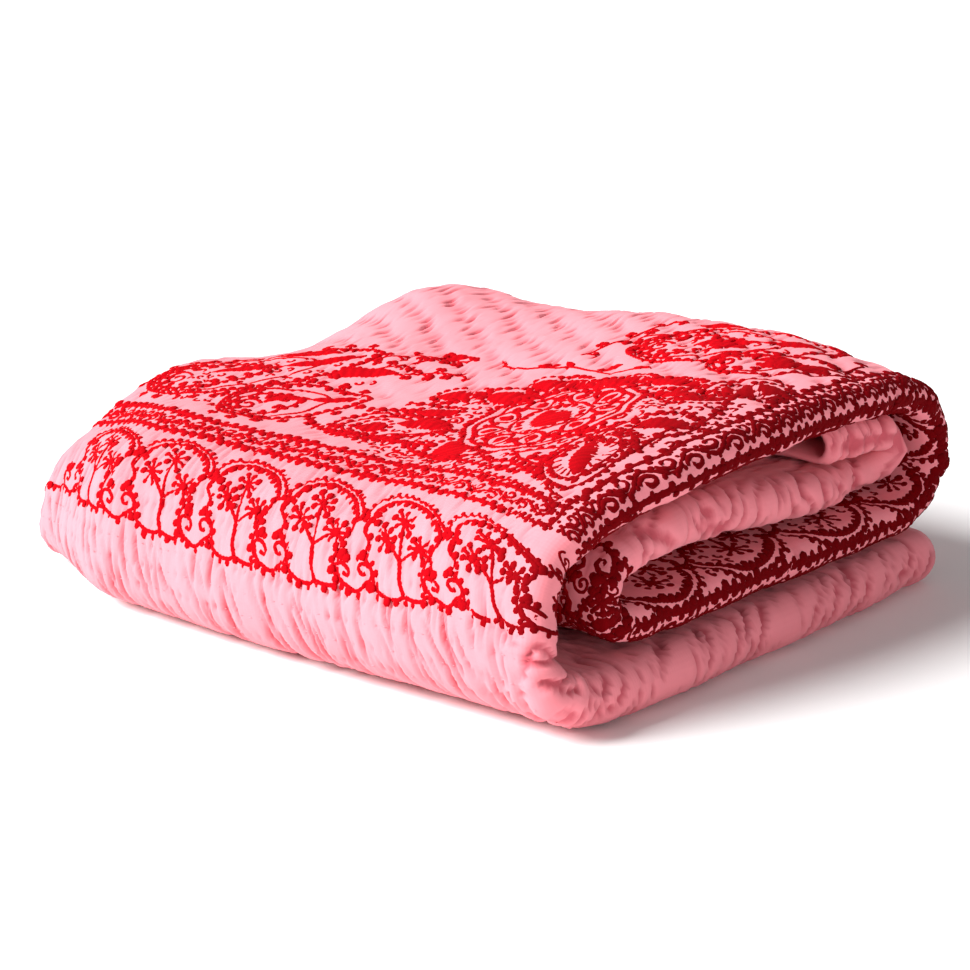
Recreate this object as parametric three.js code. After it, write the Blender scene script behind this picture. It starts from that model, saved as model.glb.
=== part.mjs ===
import * as THREE from "three";

// A quilted cotton bedspread lying folded: in three across its width, then over and over along its length.
// All sizes are in millimetres. X runs along the long front fold, Y to the back, Z up.

const LAYER = 5.5; // thickness of the quilted sheet
const HEM_LAYER = 0.55; // share of that thickness left at the sewn hems
const HEM_DEPTH = 7; // how far a hem tapers
const PITCH = 8; // from one layer of a ply to the next, middle to middle

const LEFT_END = -243; // outside of the folds at the left end
const EDGE_BACK = 14; // the left hem stops this far short of the right fold
const EDGE_LEFT = 6; // the right hem stops this far short of the left fold

const BODY_END = 30; // up to this x the plies lie as in the middle of the stack
const MOUTH_FROM = 205; // from this x on they lie as at the open right end

const MIDDLE_X = 3; // the middle of the whole stack, which becomes the origin
const MIDDLE_Y = -8;

const WOBBLE = 1.6; // unevenness of the right fold
const WOBBLE_STEP = 1.9; // its spacing along the path, in rows of the table below

// The path of the ply from the outer hem inwards. y and z are its middle in the body of the stack, endY and endZ
// at the right end. reach is how far right its fold goes, and puff how much thicker the fold is there.
const PATH_COLUMNS = ["at", "y", "z", "endY", "endZ", "reach", "puff"];
const PATH_ROWS = [
  ["outer hem", 186, 10.75, 182, 17.95, 243, 0.9],
  ["bottom back", 150, 10.75, 145, 17.95, 247, 0.9],
  ["bottom middle", 20, 10.75, 20, 17.95, 249, 0.9],
  ["bottom front", -128, 10.75, -120, 17.95, 247, 0.9],
  ["front foot", -196, 10.75, -188, 17.95, 244, 0.9],
  ["front low", -216, 22, -211, 32, 236, 0.5],
  ["front belly", -209, 54, -205, 66, 221, 0.3],
  ["front high", -192, 85, -192, 100, 217, 0.25],
  ["front brow", -155, 99, -156, 119, 222, 0.2],
  ["top front", -100, 101, -105, 131, 231, 0.2],
  ["top middle front", -40, 106, -40, 139, 237, 0.2],
  ["top middle", 30, 116, 25, 143, 239, 0.2],
  ["top back", 95, 120, 90, 144, 240, 0.2],
  ["back brow", 150, 120, 145, 140.5, 239, 0.2],
  ["back high", 188, 107, 182, 128, 237, 0.2],
  ["back belly", 200, 76, 197, 99, 238, 0.2],
  ["back low", 189, 45, 192, 69, 238, 0.15],
  ["lower back", 150, 35.5, 160, 50.5, 238, 0.1],
  ["lower middle back", 90, 36.5, 100, 51.5, 238, 0.15],
  ["lower middle", 10, 36.5, 10, 53.5, 238, 0.25],
  ["lower front", -80, 36.5, -80, 54, 238, 0.25],
  ["inner foot", -126, 36, -116, 53, 236, 0.15],
  ["inner low", -160, 32, -146, 53, 232, 0],
  ["inner belly", -172, 50, -157, 72, 230, 0],
  ["inner high", -160, 68, -142, 92, 228, 0.1],
  ["inner front", -124, 63.5, -98, 98, 226, 0.4],
  ["inner middle front", -40, 62, -35, 97, 226, 0.6],
  ["inner middle", 40, 61.5, 40, 87.5, 227, 0.5],
  ["inner back", 90, 62, 92, 81, 225, 0.3],
  ["curl foot", 130, 61, 136, 78, 210, 0],
  ["curl low", 158, 61, 160, 79.5, 219, 0],
  ["curl belly", 168, 77, 168.5, 94.5, 226, 0.05],
  ["curl high", 158, 92.5, 157, 108.5, 227, 0.1],
  ["curl brow", 130, 92.5, 136, 110, 226, 0.25],
  ["core back", 90, 90.5, 118, 111, 224, 0.35],
  ["core middle", 55, 89.5, 101, 111.5, 222, 0.4],
  ["core hem", 20, 88.5, 86, 111.5, 220, 0.4],
];

// How high the stack stands against its even height, from the left end to the right in even steps.
const LOFT_FROM = -245;
const LOFT_STEP = 70;
const LOFT_COLUMNS = ["front", "middle", "back"];
const LOFT_ROWS = [
  [0.86, 1.12, 0.56],
  [1.01, 1.1, 1.1],
  [1.04, 0.98, 1.22],
  [1.06, 1.0, 1.08],
  [1.08, 1.04, 1.22],
  [1.07, 1.05, 1.16],
  [1.05, 1.03, 1.02],
  [1.0, 1.0, 0.97],
];
const LOFT_DEPTH = 160; // the front and back figures hold at this y on either side

// Soft swells and dents in the stack: where, how far they reach, and the share of the height that they add.
const SWELL_COLUMNS = ["x", "y", "wide", "deep", "rise"];
const SWELL_ROWS = [
  [-210, 42, 56, 54, -0.115],
  [-164, 126, 44, 54, 0.06],
  [-100, 165, 44, 60, -0.045],
  [-14, 160, 56, 60, 0.05],
  [120, 166, 80, 60, 0.03],
  [-246, -172, 50, 44, -0.055],
  [-246, -60, 50, 50, 0.03],
];

const ROUND_FRONT = 0.2; // how far the left end's front corner is drawn in
const ROUND_BACK = 0.1; // and its back corner
const ROUND_FROM = -130; // from this x
const ROUND_TO = -250;

// Flat width of the sheet from its left hem to its right one, fold by fold.
const SPANS = [
  { name: "leftThird", width: 452 },
  { name: "leftFold", width: 13 },
  { name: "middleThird", width: 470 },
  { name: "rightFold", width: 32 },
  { name: "rightThird", width: 460 },
];
// Where the columns of points stand in each third, as shares of its way from left to right, and how many a fold has.
const SHARES = [0, 0.05, 0.12, 0.21, 0.33, 0.52, 0.68, 0.81, 0.91];
const FOLD_COLUMNS = { leftFold: 3, rightFold: 5 };

// Quilting: rows of running stitch along X draw the face in.
const QUILT_ROW = 15;
const QUILT_DEPTH = 1.5;
const QUILT_FROM = 3.9; // first and last row of the path table that shows
const QUILT_TO = 17;
const PUCKER = 21; // puckers over the right fold
const PUCKER_DEPTH = 1.8;

const TURN_STEP = (28 * Math.PI) / 180; // a plain column has a point at each such turn of the ply
const LENGTH_STEP = 62; // and at least at each such length
const REACH_STEP = 6; // and where its right fold has moved this far
const SAMPLES = 4000; // steps in which the path is measured

function table(columns, rows) {
  return rows.map((row) => Object.fromEntries(columns.map((name, i) => [name, row[i]])));
}

const PATH = table(PATH_COLUMNS, PATH_ROWS);
const LOFT = table(LOFT_COLUMNS, LOFT_ROWS);
const SWELLS = table(SWELL_COLUMNS, SWELL_ROWS);
const LAST = PATH.length - 1;

function smooth(value, from, to) {
  const t = THREE.MathUtils.clamp((value - from) / (to - from), 0, 1);
  return t * t * (3 - 2 * t);
}

// A smooth curve near the rows of a table, as a value and a slope for each named column.
function curve(rows, names, u) {
  const last = rows.length - 1;
  const at = THREE.MathUtils.clamp(u, 0, last);
  const i = Math.min(Math.floor(at), last - 1);
  const t = at - i;
  const value = {};
  const slope = {};
  for (const name of names) {
    const b = rows[i][name];
    const c = rows[i + 1][name];
    const a = i > 0 ? rows[i - 1][name] : 2 * b - c;
    const d = i + 2 <= last ? rows[i + 2][name] : 2 * c - b;
    const near = (3 * t ** 3 - 6 * t ** 2 + 4) * b;
    const next = (-3 * t ** 3 + 3 * t ** 2 + 3 * t + 1) * c;
    value[name] = ((1 - t) ** 3 * a + near + next + t ** 3 * d) / 6;
    const nearSlope = (9 * t ** 2 - 12 * t) * b;
    const nextSlope = (-9 * t ** 2 + 6 * t + 3) * c;
    slope[name] = (-3 * (1 - t) ** 2 * a + nearSlope + nextSlope + 3 * t ** 2 * d) / 6;
  }
  return { value, slope };
}

// The folded section across the width: x, and the offset from the ply's middle, n outside the layer's own middle.
function section(row, u, span, f, n) {
  const half = PITCH * (1 + row.puff);
  const wobble = WOBBLE * Math.sin(u * WOBBLE_STEP * Math.PI) * Math.sin(u * WOBBLE_STEP);
  const right = row.reach + wobble - half;
  const left = LEFT_END + PITCH / 2;
  const spread = (x) => PITCH * (1 + row.puff * smooth(x, BODY_END, MOUTH_FROM));
  const angle = Math.PI * f;
  if (span === "leftThird") {
    return { x: right - EDGE_BACK + f * (left - right + EDGE_BACK), m: -n };
  }
  if (span === "leftFold") {
    const radius = PITCH / 2 + n;
    return { x: left - radius * Math.sin(angle), m: PITCH / 2 - radius * Math.cos(angle) };
  }
  if (span === "middleThird") {
    const x = left + f * (right - left);
    return { x, m: spread(x) + n };
  }
  if (span === "rightFold") {
    return { x: right + (half + n) * Math.sin(angle), m: (half + n) * Math.cos(angle) };
  }
  const x = right + f * (left + EDGE_LEFT - right);
  return { x, m: -spread(x) - n };
}

// Presses and plumps the stack and draws in its left corners.
function settle(x, y, z) {
  const t = THREE.MathUtils.clamp((y + LOFT_DEPTH) / (2 * LOFT_DEPTH), 0, 1);
  const row = curve(LOFT, LOFT_COLUMNS, (x - LOFT_FROM) / LOFT_STEP).value;
  let loft = row.front * (1 - t) ** 2 + row.middle * 2 * t * (1 - t) + row.back * t ** 2;
  for (const swell of SWELLS) {
    const away = ((x - swell.x) / swell.wide) ** 2 + ((y - swell.y) / swell.deep) ** 2;
    loft += swell.rise * Math.exp(-away);
  }
  const corner = y < 0 ? ROUND_FRONT : ROUND_BACK;
  const draw = 1 - corner * smooth(x, ROUND_FROM, ROUND_TO);
  return new THREE.Vector3(x - MIDDLE_X, y * draw - MIDDLE_Y, z * loft);
}

const PATH_NAMES = PATH_COLUMNS.slice(1);

// The ply's middle and its direction in the depth and height plane, at one x.
function plyAt(u, x) {
  const { value, slope } = curve(PATH, PATH_NAMES, u);
  const mouth = smooth(x, BODY_END, MOUTH_FROM);
  const y = THREE.MathUtils.lerp(value.y, value.endY, mouth);
  const z = THREE.MathUtils.lerp(value.z, value.endZ, mouth);
  const dy = THREE.MathUtils.lerp(slope.y, slope.endY, mouth);
  const dz = THREE.MathUtils.lerp(slope.z, slope.endZ, mouth);
  const size = Math.hypot(dy, dz);
  return { y, z, dy: dy / size, dz: dz / size };
}

// The point of the sheet at u along the path, share f of a span of its width and n outside the layer's middle.
function place(u, span, f, n) {
  const row = curve(PATH, PATH_NAMES, u).value;
  const { x, m } = section(row, u, span, f, n);
  const ply = plyAt(u, x);
  return settle(x, ply.y - m * ply.dz, ply.z + m * ply.dy);
}

// Length along the path from the outer hem to each sample, on whichever side of the ply is the longer there.
const lengths = [0];
for (let i = 1; i <= SAMPLES; i += 1) {
  const steps = ["middleThird", "rightThird"].map((span) => {
    const here = place((i / SAMPLES) * LAST, span, 0.5, LAYER / 2);
    const before = place(((i - 1) / SAMPLES) * LAST, span, 0.5, LAYER / 2);
    return here.distanceTo(before);
  });
  lengths.push(lengths[i - 1] + Math.max(...steps));
}
const LENGTH = lengths[SAMPLES];

function lengthAt(u) {
  return lengths[Math.round((u / LAST) * SAMPLES)];
}

function pathAt(length) {
  const i = Math.max(1, lengths.findIndex((l) => l >= length));
  const f = (length - lengths[i - 1]) / (lengths[i] - lengths[i - 1]);
  return ((i - 1 + f) / SAMPLES) * LAST;
}

// Points along a plain column: at each hem, and where the ply has turned or run far enough.
function plainStations() {
  const stations = [0, pathAt(HEM_DEPTH)];
  let turned = 0;
  let from = HEM_DEPTH;
  let reached = PATH[0].reach;
  const stop = LENGTH - HEM_DEPTH;
  for (let i = 1; i <= SAMPLES; i += 1) {
    const u = (i / SAMPLES) * LAST;
    const bends = [LEFT_END, MOUTH_FROM].map((x) => {
      const a = plyAt(((i - 1) / SAMPLES) * LAST, x);
      const b = plyAt(u, x);
      return Math.abs(Math.asin(THREE.MathUtils.clamp(a.dy * b.dz - a.dz * b.dy, -1, 1)));
    });
    turned += Math.max(...bends);
    const reach = curve(PATH, ["reach"], u).value.reach;
    const moved = Math.abs(reach - reached) > REACH_STEP;
    const far = moved || turned > TURN_STEP || lengths[i] - from > LENGTH_STEP;
    if (far && lengths[i] < stop - HEM_DEPTH) {
      stations.push(u);
      turned = 0;
      from = lengths[i];
      reached = reach;
    }
  }
  stations.push(pathAt(stop), LAST);
  return stations.map((u) => ({ u, in: 0 }));
}

const PLAIN = plainStations();

// Replaces a stretch of a plain column by points that rise and fall by a row's depth.
function rowed(from, to, spacing, depth) {
  const first = lengthAt(from);
  const count = 2 * Math.round((lengthAt(to) - first) / spacing);
  const step = (lengthAt(to) - first) / count;
  const rows = [];
  for (let i = 0; i <= count; i += 1) {
    rows.push({ u: pathAt(first + i * step), in: i % 2 ? depth : 0 });
  }
  const clear = (step * LAST) / LENGTH / 2;
  const before = PLAIN.filter((s) => s.u < from - clear);
  const after = PLAIN.filter((s) => s.u > to + clear);
  return [...before, ...rows, ...after];
}

const QUILTED = rowed(QUILT_FROM, QUILT_TO, QUILT_ROW, QUILT_DEPTH);
const PUCKERED = rowed(PLAIN[1].u, PLAIN[PLAIN.length - 2].u, PUCKER, PUCKER_DEPTH);
const STATIONS = { leftFold: QUILTED, middleThird: QUILTED, rightFold: PUCKERED };

// The columns of points that run along the path, from the left hem to the right one.
const columns = [];
for (const { name } of SPANS) {
  const count = FOLD_COLUMNS[name];
  const shares = count ? Array.from({ length: count }, (_, i) => i / count) : SHARES;
  const leftwards = name === "leftThird" || name === "rightThird";
  const placed = leftwards ? [...shares.slice(1), 1].reverse().map((s) => 1 - s) : shares;
  placed.forEach((f) => columns.push({ span: name, f }));
}
const leftWidth = SPANS[0].width;
const rightWidth = SPANS[SPANS.length - 1].width;
columns.splice(1, 0, { span: "leftThird", f: HEM_DEPTH / leftWidth });
columns.push({ span: "rightThird", f: 1 - HEM_DEPTH / rightWidth }, { span: "rightThird", f: 1 });

const points = [];
const triangles = [];

function column(index, side) {
  const { span, f } = columns[index];
  const stations = side > 0 ? (STATIONS[span] ?? PLAIN) : PLAIN;
  const atEdge = index === 0 || index === columns.length - 1;
  return stations.map(({ u, in: depth }) => {
    const atHem = atEdge || u === 0 || u === LAST;
    const half = (atHem ? HEM_LAYER : 1) * (LAYER / 2);
    const n = side > 0 ? half - depth : -half;
    points.push(place(u, span, f, n));
    return { u, id: points.length - 1 };
  });
}

// Joins two neighbouring columns, whichever has the nearer next point going first.
function join(a, b) {
  let i = 0;
  let j = 0;
  while (i < a.length - 1 || j < b.length - 1) {
    const stepA = j === b.length - 1 || (i < a.length - 1 && a[i + 1].u <= b[j + 1].u);
    if (stepA) {
      triangles.push([a[i].id, b[j].id, a[i + 1].id]);
      i += 1;
    } else {
      triangles.push([a[i].id, b[j].id, b[j + 1].id]);
      j += 1;
    }
  }
}

// Closes an end of the sheet between its face and its back.
function cap(face, back, end, turn) {
  for (let i = 0; i < face.length - 1; i += 1) {
    const corners = [face[i], face[i + 1], back[i + 1], back[i]].map((c) => c.at(end).id);
    const [a, b, c, d] = turn ? [...corners].reverse() : corners;
    triangles.push([a, b, c], [a, c, d]);
  }
}

const face = columns.map((_, i) => column(i, 1));
const back = columns.map((_, i) => column(i, -1));
for (let i = 0; i < columns.length - 1; i += 1) {
  join(face[i], face[i + 1]);
  join(back[i + 1], back[i]);
}
join(back[0], face[0]);
join(face[columns.length - 1], back[columns.length - 1]);
cap(face, back, 0, true);
cap(face, back, -1, false);

const geometry = new THREE.BufferGeometry();
geometry.setFromPoints(points);
geometry.setIndex(triangles.flat());
geometry.computeVertexNormals();

const cotton = new THREE.MeshStandardMaterial({ color: 0xf0b3bb, roughness: 0.92, metalness: 0 });
cotton.name = "quilted_cotton";

const bedspread = new THREE.Mesh(geometry, cotton);
bedspread.name = "bedspread";

const part = new THREE.Group();
part.name = "folded_bedspread";
part.add(bedspread);

export default part;
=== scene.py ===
"""A folded quilted bedspread in pink cotton with raised red embroidery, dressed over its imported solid."""

import logging
import math
from dataclasses import dataclass, field
from enum import Enum

import bpy
import numpy as np
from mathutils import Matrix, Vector


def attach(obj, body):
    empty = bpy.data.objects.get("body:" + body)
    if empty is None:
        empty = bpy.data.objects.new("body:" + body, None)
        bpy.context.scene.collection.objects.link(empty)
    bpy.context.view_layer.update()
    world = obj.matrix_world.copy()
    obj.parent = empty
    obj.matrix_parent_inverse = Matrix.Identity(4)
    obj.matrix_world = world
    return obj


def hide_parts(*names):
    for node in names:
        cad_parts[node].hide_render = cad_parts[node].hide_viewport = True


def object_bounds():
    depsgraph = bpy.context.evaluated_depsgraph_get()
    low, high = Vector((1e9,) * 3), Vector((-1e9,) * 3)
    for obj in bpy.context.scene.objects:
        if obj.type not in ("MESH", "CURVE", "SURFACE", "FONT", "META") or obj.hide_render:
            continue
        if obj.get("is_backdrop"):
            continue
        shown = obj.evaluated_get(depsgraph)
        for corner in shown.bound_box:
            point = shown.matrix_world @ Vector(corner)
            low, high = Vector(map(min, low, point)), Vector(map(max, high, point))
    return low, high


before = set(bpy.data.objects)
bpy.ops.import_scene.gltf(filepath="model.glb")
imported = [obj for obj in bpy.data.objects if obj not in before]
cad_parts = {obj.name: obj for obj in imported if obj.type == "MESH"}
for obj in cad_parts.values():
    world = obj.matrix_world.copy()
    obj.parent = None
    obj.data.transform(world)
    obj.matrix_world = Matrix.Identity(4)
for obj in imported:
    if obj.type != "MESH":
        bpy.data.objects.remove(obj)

LOG = logging.getLogger("bedspread")
Array = np.ndarray
Pair = tuple[float, float]
Row = tuple[float, ...]
Rows = tuple[tuple[float, ...], ...]
Socket = bpy.types.NodeSocket
MM = 0.001
# Spacing in mm of the points of a line that is drawn.
LINE_STEP = 1.1
# A wave texture of scale 1 turns through 20 radians in a metre, which makes this many bands.
WAVE_TURN = 20.0
WAVE_BANDS = 3.183

# The way of the folded ply from the outer hem inwards, in mm: its middle y and z in the body of the stack,
# y and z at the open right end, how far right its fold reaches, and how much thicker the fold is there.
PLY_ROWS = np.array([
    (186, 10.75, 182, 17.95, 243, 0.9),     # outer hem
    (150, 10.75, 145, 17.95, 247, 0.9),     # bottom back
    (20, 10.75, 20, 17.95, 249, 0.9),       # bottom middle
    (-128, 10.75, -120, 17.95, 247, 0.9),   # bottom front
    (-196, 10.75, -188, 17.95, 244, 0.9),   # front foot
    (-216, 22, -211, 32, 236, 0.5),         # front low
    (-209, 54, -205, 66, 221, 0.3),         # front belly
    (-192, 85, -192, 100, 217, 0.25),       # front high
    (-155, 99, -156, 119, 222, 0.2),        # front brow
    (-100, 101, -105, 131, 231, 0.2),       # top front
    (-40, 106, -40, 139, 237, 0.2),         # top middle front
    (30, 116, 25, 143, 239, 0.2),           # top middle
    (95, 120, 90, 144, 240, 0.2),           # top back
    (150, 120, 145, 140.5, 239, 0.2),       # back brow
    (188, 107, 182, 128, 237, 0.2),         # back high
    (200, 76, 197, 99, 238, 0.2),           # back belly
    (189, 45, 192, 69, 238, 0.15),          # back low
    (150, 35.5, 160, 50.5, 238, 0.1),       # lower back
    (90, 36.5, 100, 51.5, 238, 0.15),       # lower middle back
    (10, 36.5, 10, 53.5, 238, 0.25),        # lower middle
    (-80, 36.5, -80, 54, 238, 0.25),        # lower front
    (-126, 36, -116, 53, 236, 0.15),        # inner foot
    (-160, 32, -146, 53, 232, 0),           # inner low
    (-172, 50, -157, 72, 230, 0),           # inner belly
    (-160, 68, -142, 92, 228, 0.1),         # inner high
    (-124, 63.5, -98, 98, 226, 0.4),        # inner front
    (-40, 62, -35, 97, 226, 0.6),           # inner middle front
    (40, 61.5, 40, 87.5, 227, 0.5),         # inner middle
    (90, 62, 92, 81, 225, 0.3),             # inner back
    (130, 61, 136, 78, 210, 0),             # curl foot
    (158, 61, 160, 79.5, 219, 0),           # curl low
    (168, 77, 168.5, 94.5, 226, 0.05),      # curl belly
    (158, 92.5, 157, 108.5, 227, 0.1),      # curl high
    (130, 92.5, 136, 110, 226, 0.25),       # curl brow
    (90, 90.5, 118, 111, 224, 0.35),        # core back
    (55, 89.5, 101, 111.5, 222, 0.4),       # core middle
    (20, 88.5, 86, 111.5, 220, 0.4),        # core hem
])

# How high the stack stands against its even height at its front, middle and back,
# from the left end to the right.
LOFT_ROWS = np.array([
    (0.86, 1.12, 0.56), (1.01, 1.1, 1.1), (1.04, 0.98, 1.22), (1.06, 1.0, 1.08),
    (1.08, 1.04, 1.22), (1.07, 1.05, 1.16), (1.05, 1.03, 1.02), (1.0, 1.0, 0.97),
])

# Soft swells and dents of the stack: x, y, reach in x and y in mm, and the share of the height that they add.
SWELL_ROWS = np.array([
    (-210, 42, 56, 54, -0.115), (-164, 126, 44, 54, 0.06), (-100, 165, 44, 60, -0.045),
    (-14, 160, 56, 60, 0.05), (120, 166, 80, 60, 0.03), (-246, -172, 50, 44, -0.055),
    (-246, -60, 50, 50, 0.03),
])


def linear(code: str) -> tuple[float, float, float, float]:
    """Turns an sRGB hex colour into linear RGBA.

    Args:
        code: Six hex digits, without a leading sign.

    Returns:
        Red, green, blue and alpha, each from 0 to 1.
    """
    parts = [int(code[i:i + 2], 16) / 255 for i in (0, 2, 4)]
    red, green, blue = (c / 12.92 if c <= 0.04045 else ((c + 0.055) / 1.055) ** 2.4 for c in parts)
    return red, green, blue, 1.0


def ease(value: Array, start: float, stop: float) -> Array:
    """Rises smoothly from 0 at start to 1 at stop."""
    t = np.clip((np.asarray(value, float) - start) / (stop - start), 0, 1)
    return t * t * (3 - 2 * t)


def grown(pair: Pair, more: Array) -> Array:
    """The first number of a pair, and the second one added as far as more goes."""
    return pair[0] + pair[1] * more


def polar(away: Array | float, angle: Array | float) -> Array:
    """Points at distances from the middle, at angles in radians."""
    return np.stack([away * np.cos(angle), away * np.sin(angle)], -1)


def heading(turn: float) -> Array:
    """A step of 1 in a direction given in degrees."""
    return polar(1.0, math.radians(turn))


def left_of(way: Array) -> Array:
    """Directions a quarter turn to the left of the given ones."""
    return np.stack([-way[..., 1], way[..., 0]], -1)


def distances(points: Array) -> Array:
    """How far each point of a line lies along it."""
    return np.concatenate([[0], np.cumsum(np.linalg.norm(np.diff(points, axis=0), axis=1))])


def stretches(*runs: tuple[float, float, int]) -> Array:
    """Even places over stretches given by start, stop and count, without the first place of each."""
    return np.concatenate([np.linspace(start, stop, count)[1:] for start, stop, count in runs])


def spline(rows: Array, at: Array) -> tuple[Array, Array]:
    """Follows the rows of a table as a smooth curve.

    Args:
        rows: One row of numbers for each station.
        at: Station numbers, with parts of one.

    Returns:
        The value and the slope of every column at each station.
    """
    ends = np.vstack([2 * rows[0] - rows[1], rows, 2 * rows[-1] - rows[-2]])
    at = np.clip(at, 0, len(rows) - 1)
    i = np.minimum(at.astype(int), len(rows) - 2)
    t = (at - i)[..., None]
    a, b, c, d = ends[i], ends[i + 1], ends[i + 2], ends[i + 3]
    near, onward = 3 * t**3 - 6 * t**2 + 4, -3 * t**3 + 3 * t**2 + 3 * t + 1
    value = ((1 - t) ** 3 * a + near * b + onward * c + t**3 * d) / 6
    near, onward = 9 * t**2 - 12 * t, -9 * t**2 + 6 * t + 3
    slope = (-3 * (1 - t) ** 2 * a + near * b + onward * c + 3 * t**2 * d) / 6
    return value, slope


def even_steps(points: Array, step: float = LINE_STEP) -> Array:
    """Spaces points evenly along a line.

    Args:
        points: Points of a line, as rows.
        step: Distance from one new point to the next.

    Returns:
        New points, with both ends kept.
    """
    run = distances(points)
    there = np.linspace(0, run[-1], max(3, int(round(run[-1] / step)) + 1))
    return np.stack([np.interp(there, run, points[:, k]) for k in range(points.shape[1])], -1)


def run_through(points: list[Pair] | tuple[Pair, ...]) -> Array:
    """Draws a smooth line through a few given points.

    Args:
        points: Points in mm.

    Returns:
        Evenly spaced points of the line.
    """
    p = np.asarray(points, float)
    ends = np.vstack([2 * p[0] - p[1], p, 2 * p[-1] - p[-2]])
    t = np.linspace(0, 1, 12, endpoint=False)[:, None]
    runs = []
    for i in range(len(p) - 1):
        a, b, c, d = ends[i:i + 4]
        bent = (2 * a - 5 * b + 4 * c - d) * t**2 + (3 * b - a - 3 * c + d) * t**3
        runs.append(0.5 * (2 * b + (c - a) * t + bent))
    return even_steps(np.vstack(runs + [p[-1:]]))


def round_oval(middle: Pair, wide: float, high: float, start: float, stop: float) -> Array:
    """Draws an oval of half width wide and half height high, between two angles in degrees."""
    angle = np.radians(np.linspace(start, stop, 90))
    return even_steps(np.asarray(middle) + polar(1.0, angle) * (wide, high))


def add_object(name: str, data: bpy.types.ID) -> bpy.types.Object:
    """Adds an object to the scene.

    Args:
        name: Its name.
        data: Its mesh, camera or light.

    Returns:
        The object.
    """
    thing = bpy.data.objects.new(name, data)
    bpy.context.scene.collection.objects.link(thing)
    return thing


def make_piece(name: str, points: Array, faces: list, uv_name: str, uv: Array) -> bpy.types.Object:
    """Makes a smooth piece of points and faces.

    Args:
        name: Name of the piece.
        points: Its points in metres, as rows.
        faces: Point numbers of each face.
        uv_name: Name of its UV map.
        uv: Place of each point on that map.

    Returns:
        The piece.
    """
    mesh = bpy.data.meshes.new(name)
    mesh.from_pydata(points.tolist(), [], faces)
    corners = np.empty(len(mesh.loops), dtype=np.int32)
    mesh.loops.foreach_get("vertex_index", corners)
    mesh.uv_layers.new(name=uv_name).data.foreach_set("uv", uv[corners].astype(np.float32).ravel())
    mesh.shade_smooth()
    mesh.validate()
    return add_object(name, mesh)


@dataclass(frozen=True)
class Unevenness:
    """Soft, seeded unevenness from -1 to 1 in patches of a given size, as cloth and hand sewing have it."""

    seed: int
    wide: float = 1.0
    deep: float = 1.0
    cells: int = 64

    def __call__(self, x: Array, y: Array) -> Array:
        """Reads it.

        Args:
            x: Places across the patches.
            y: Places along them.

        Returns:
            A number from -1 to 1 for each place.
        """
        n = self.cells
        grid = np.random.default_rng(self.seed).uniform(-1, 1, (n, n))
        x, y = np.broadcast_arrays(np.asarray(x, float) / self.wide, np.asarray(y, float) / self.deep)
        i, j = np.floor(x).astype(int), np.floor(y).astype(int)
        s, t = ease(x - i, 0, 1), ease(y - j, 0, 1)
        low = grid[i % n, j % n] * (1 - s) + grid[(i + 1) % n, j % n] * s
        high = grid[i % n, (j + 1) % n] * (1 - s) + grid[(i + 1) % n, (j + 1) % n] * s
        return low * (1 - t) + high * t


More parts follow.
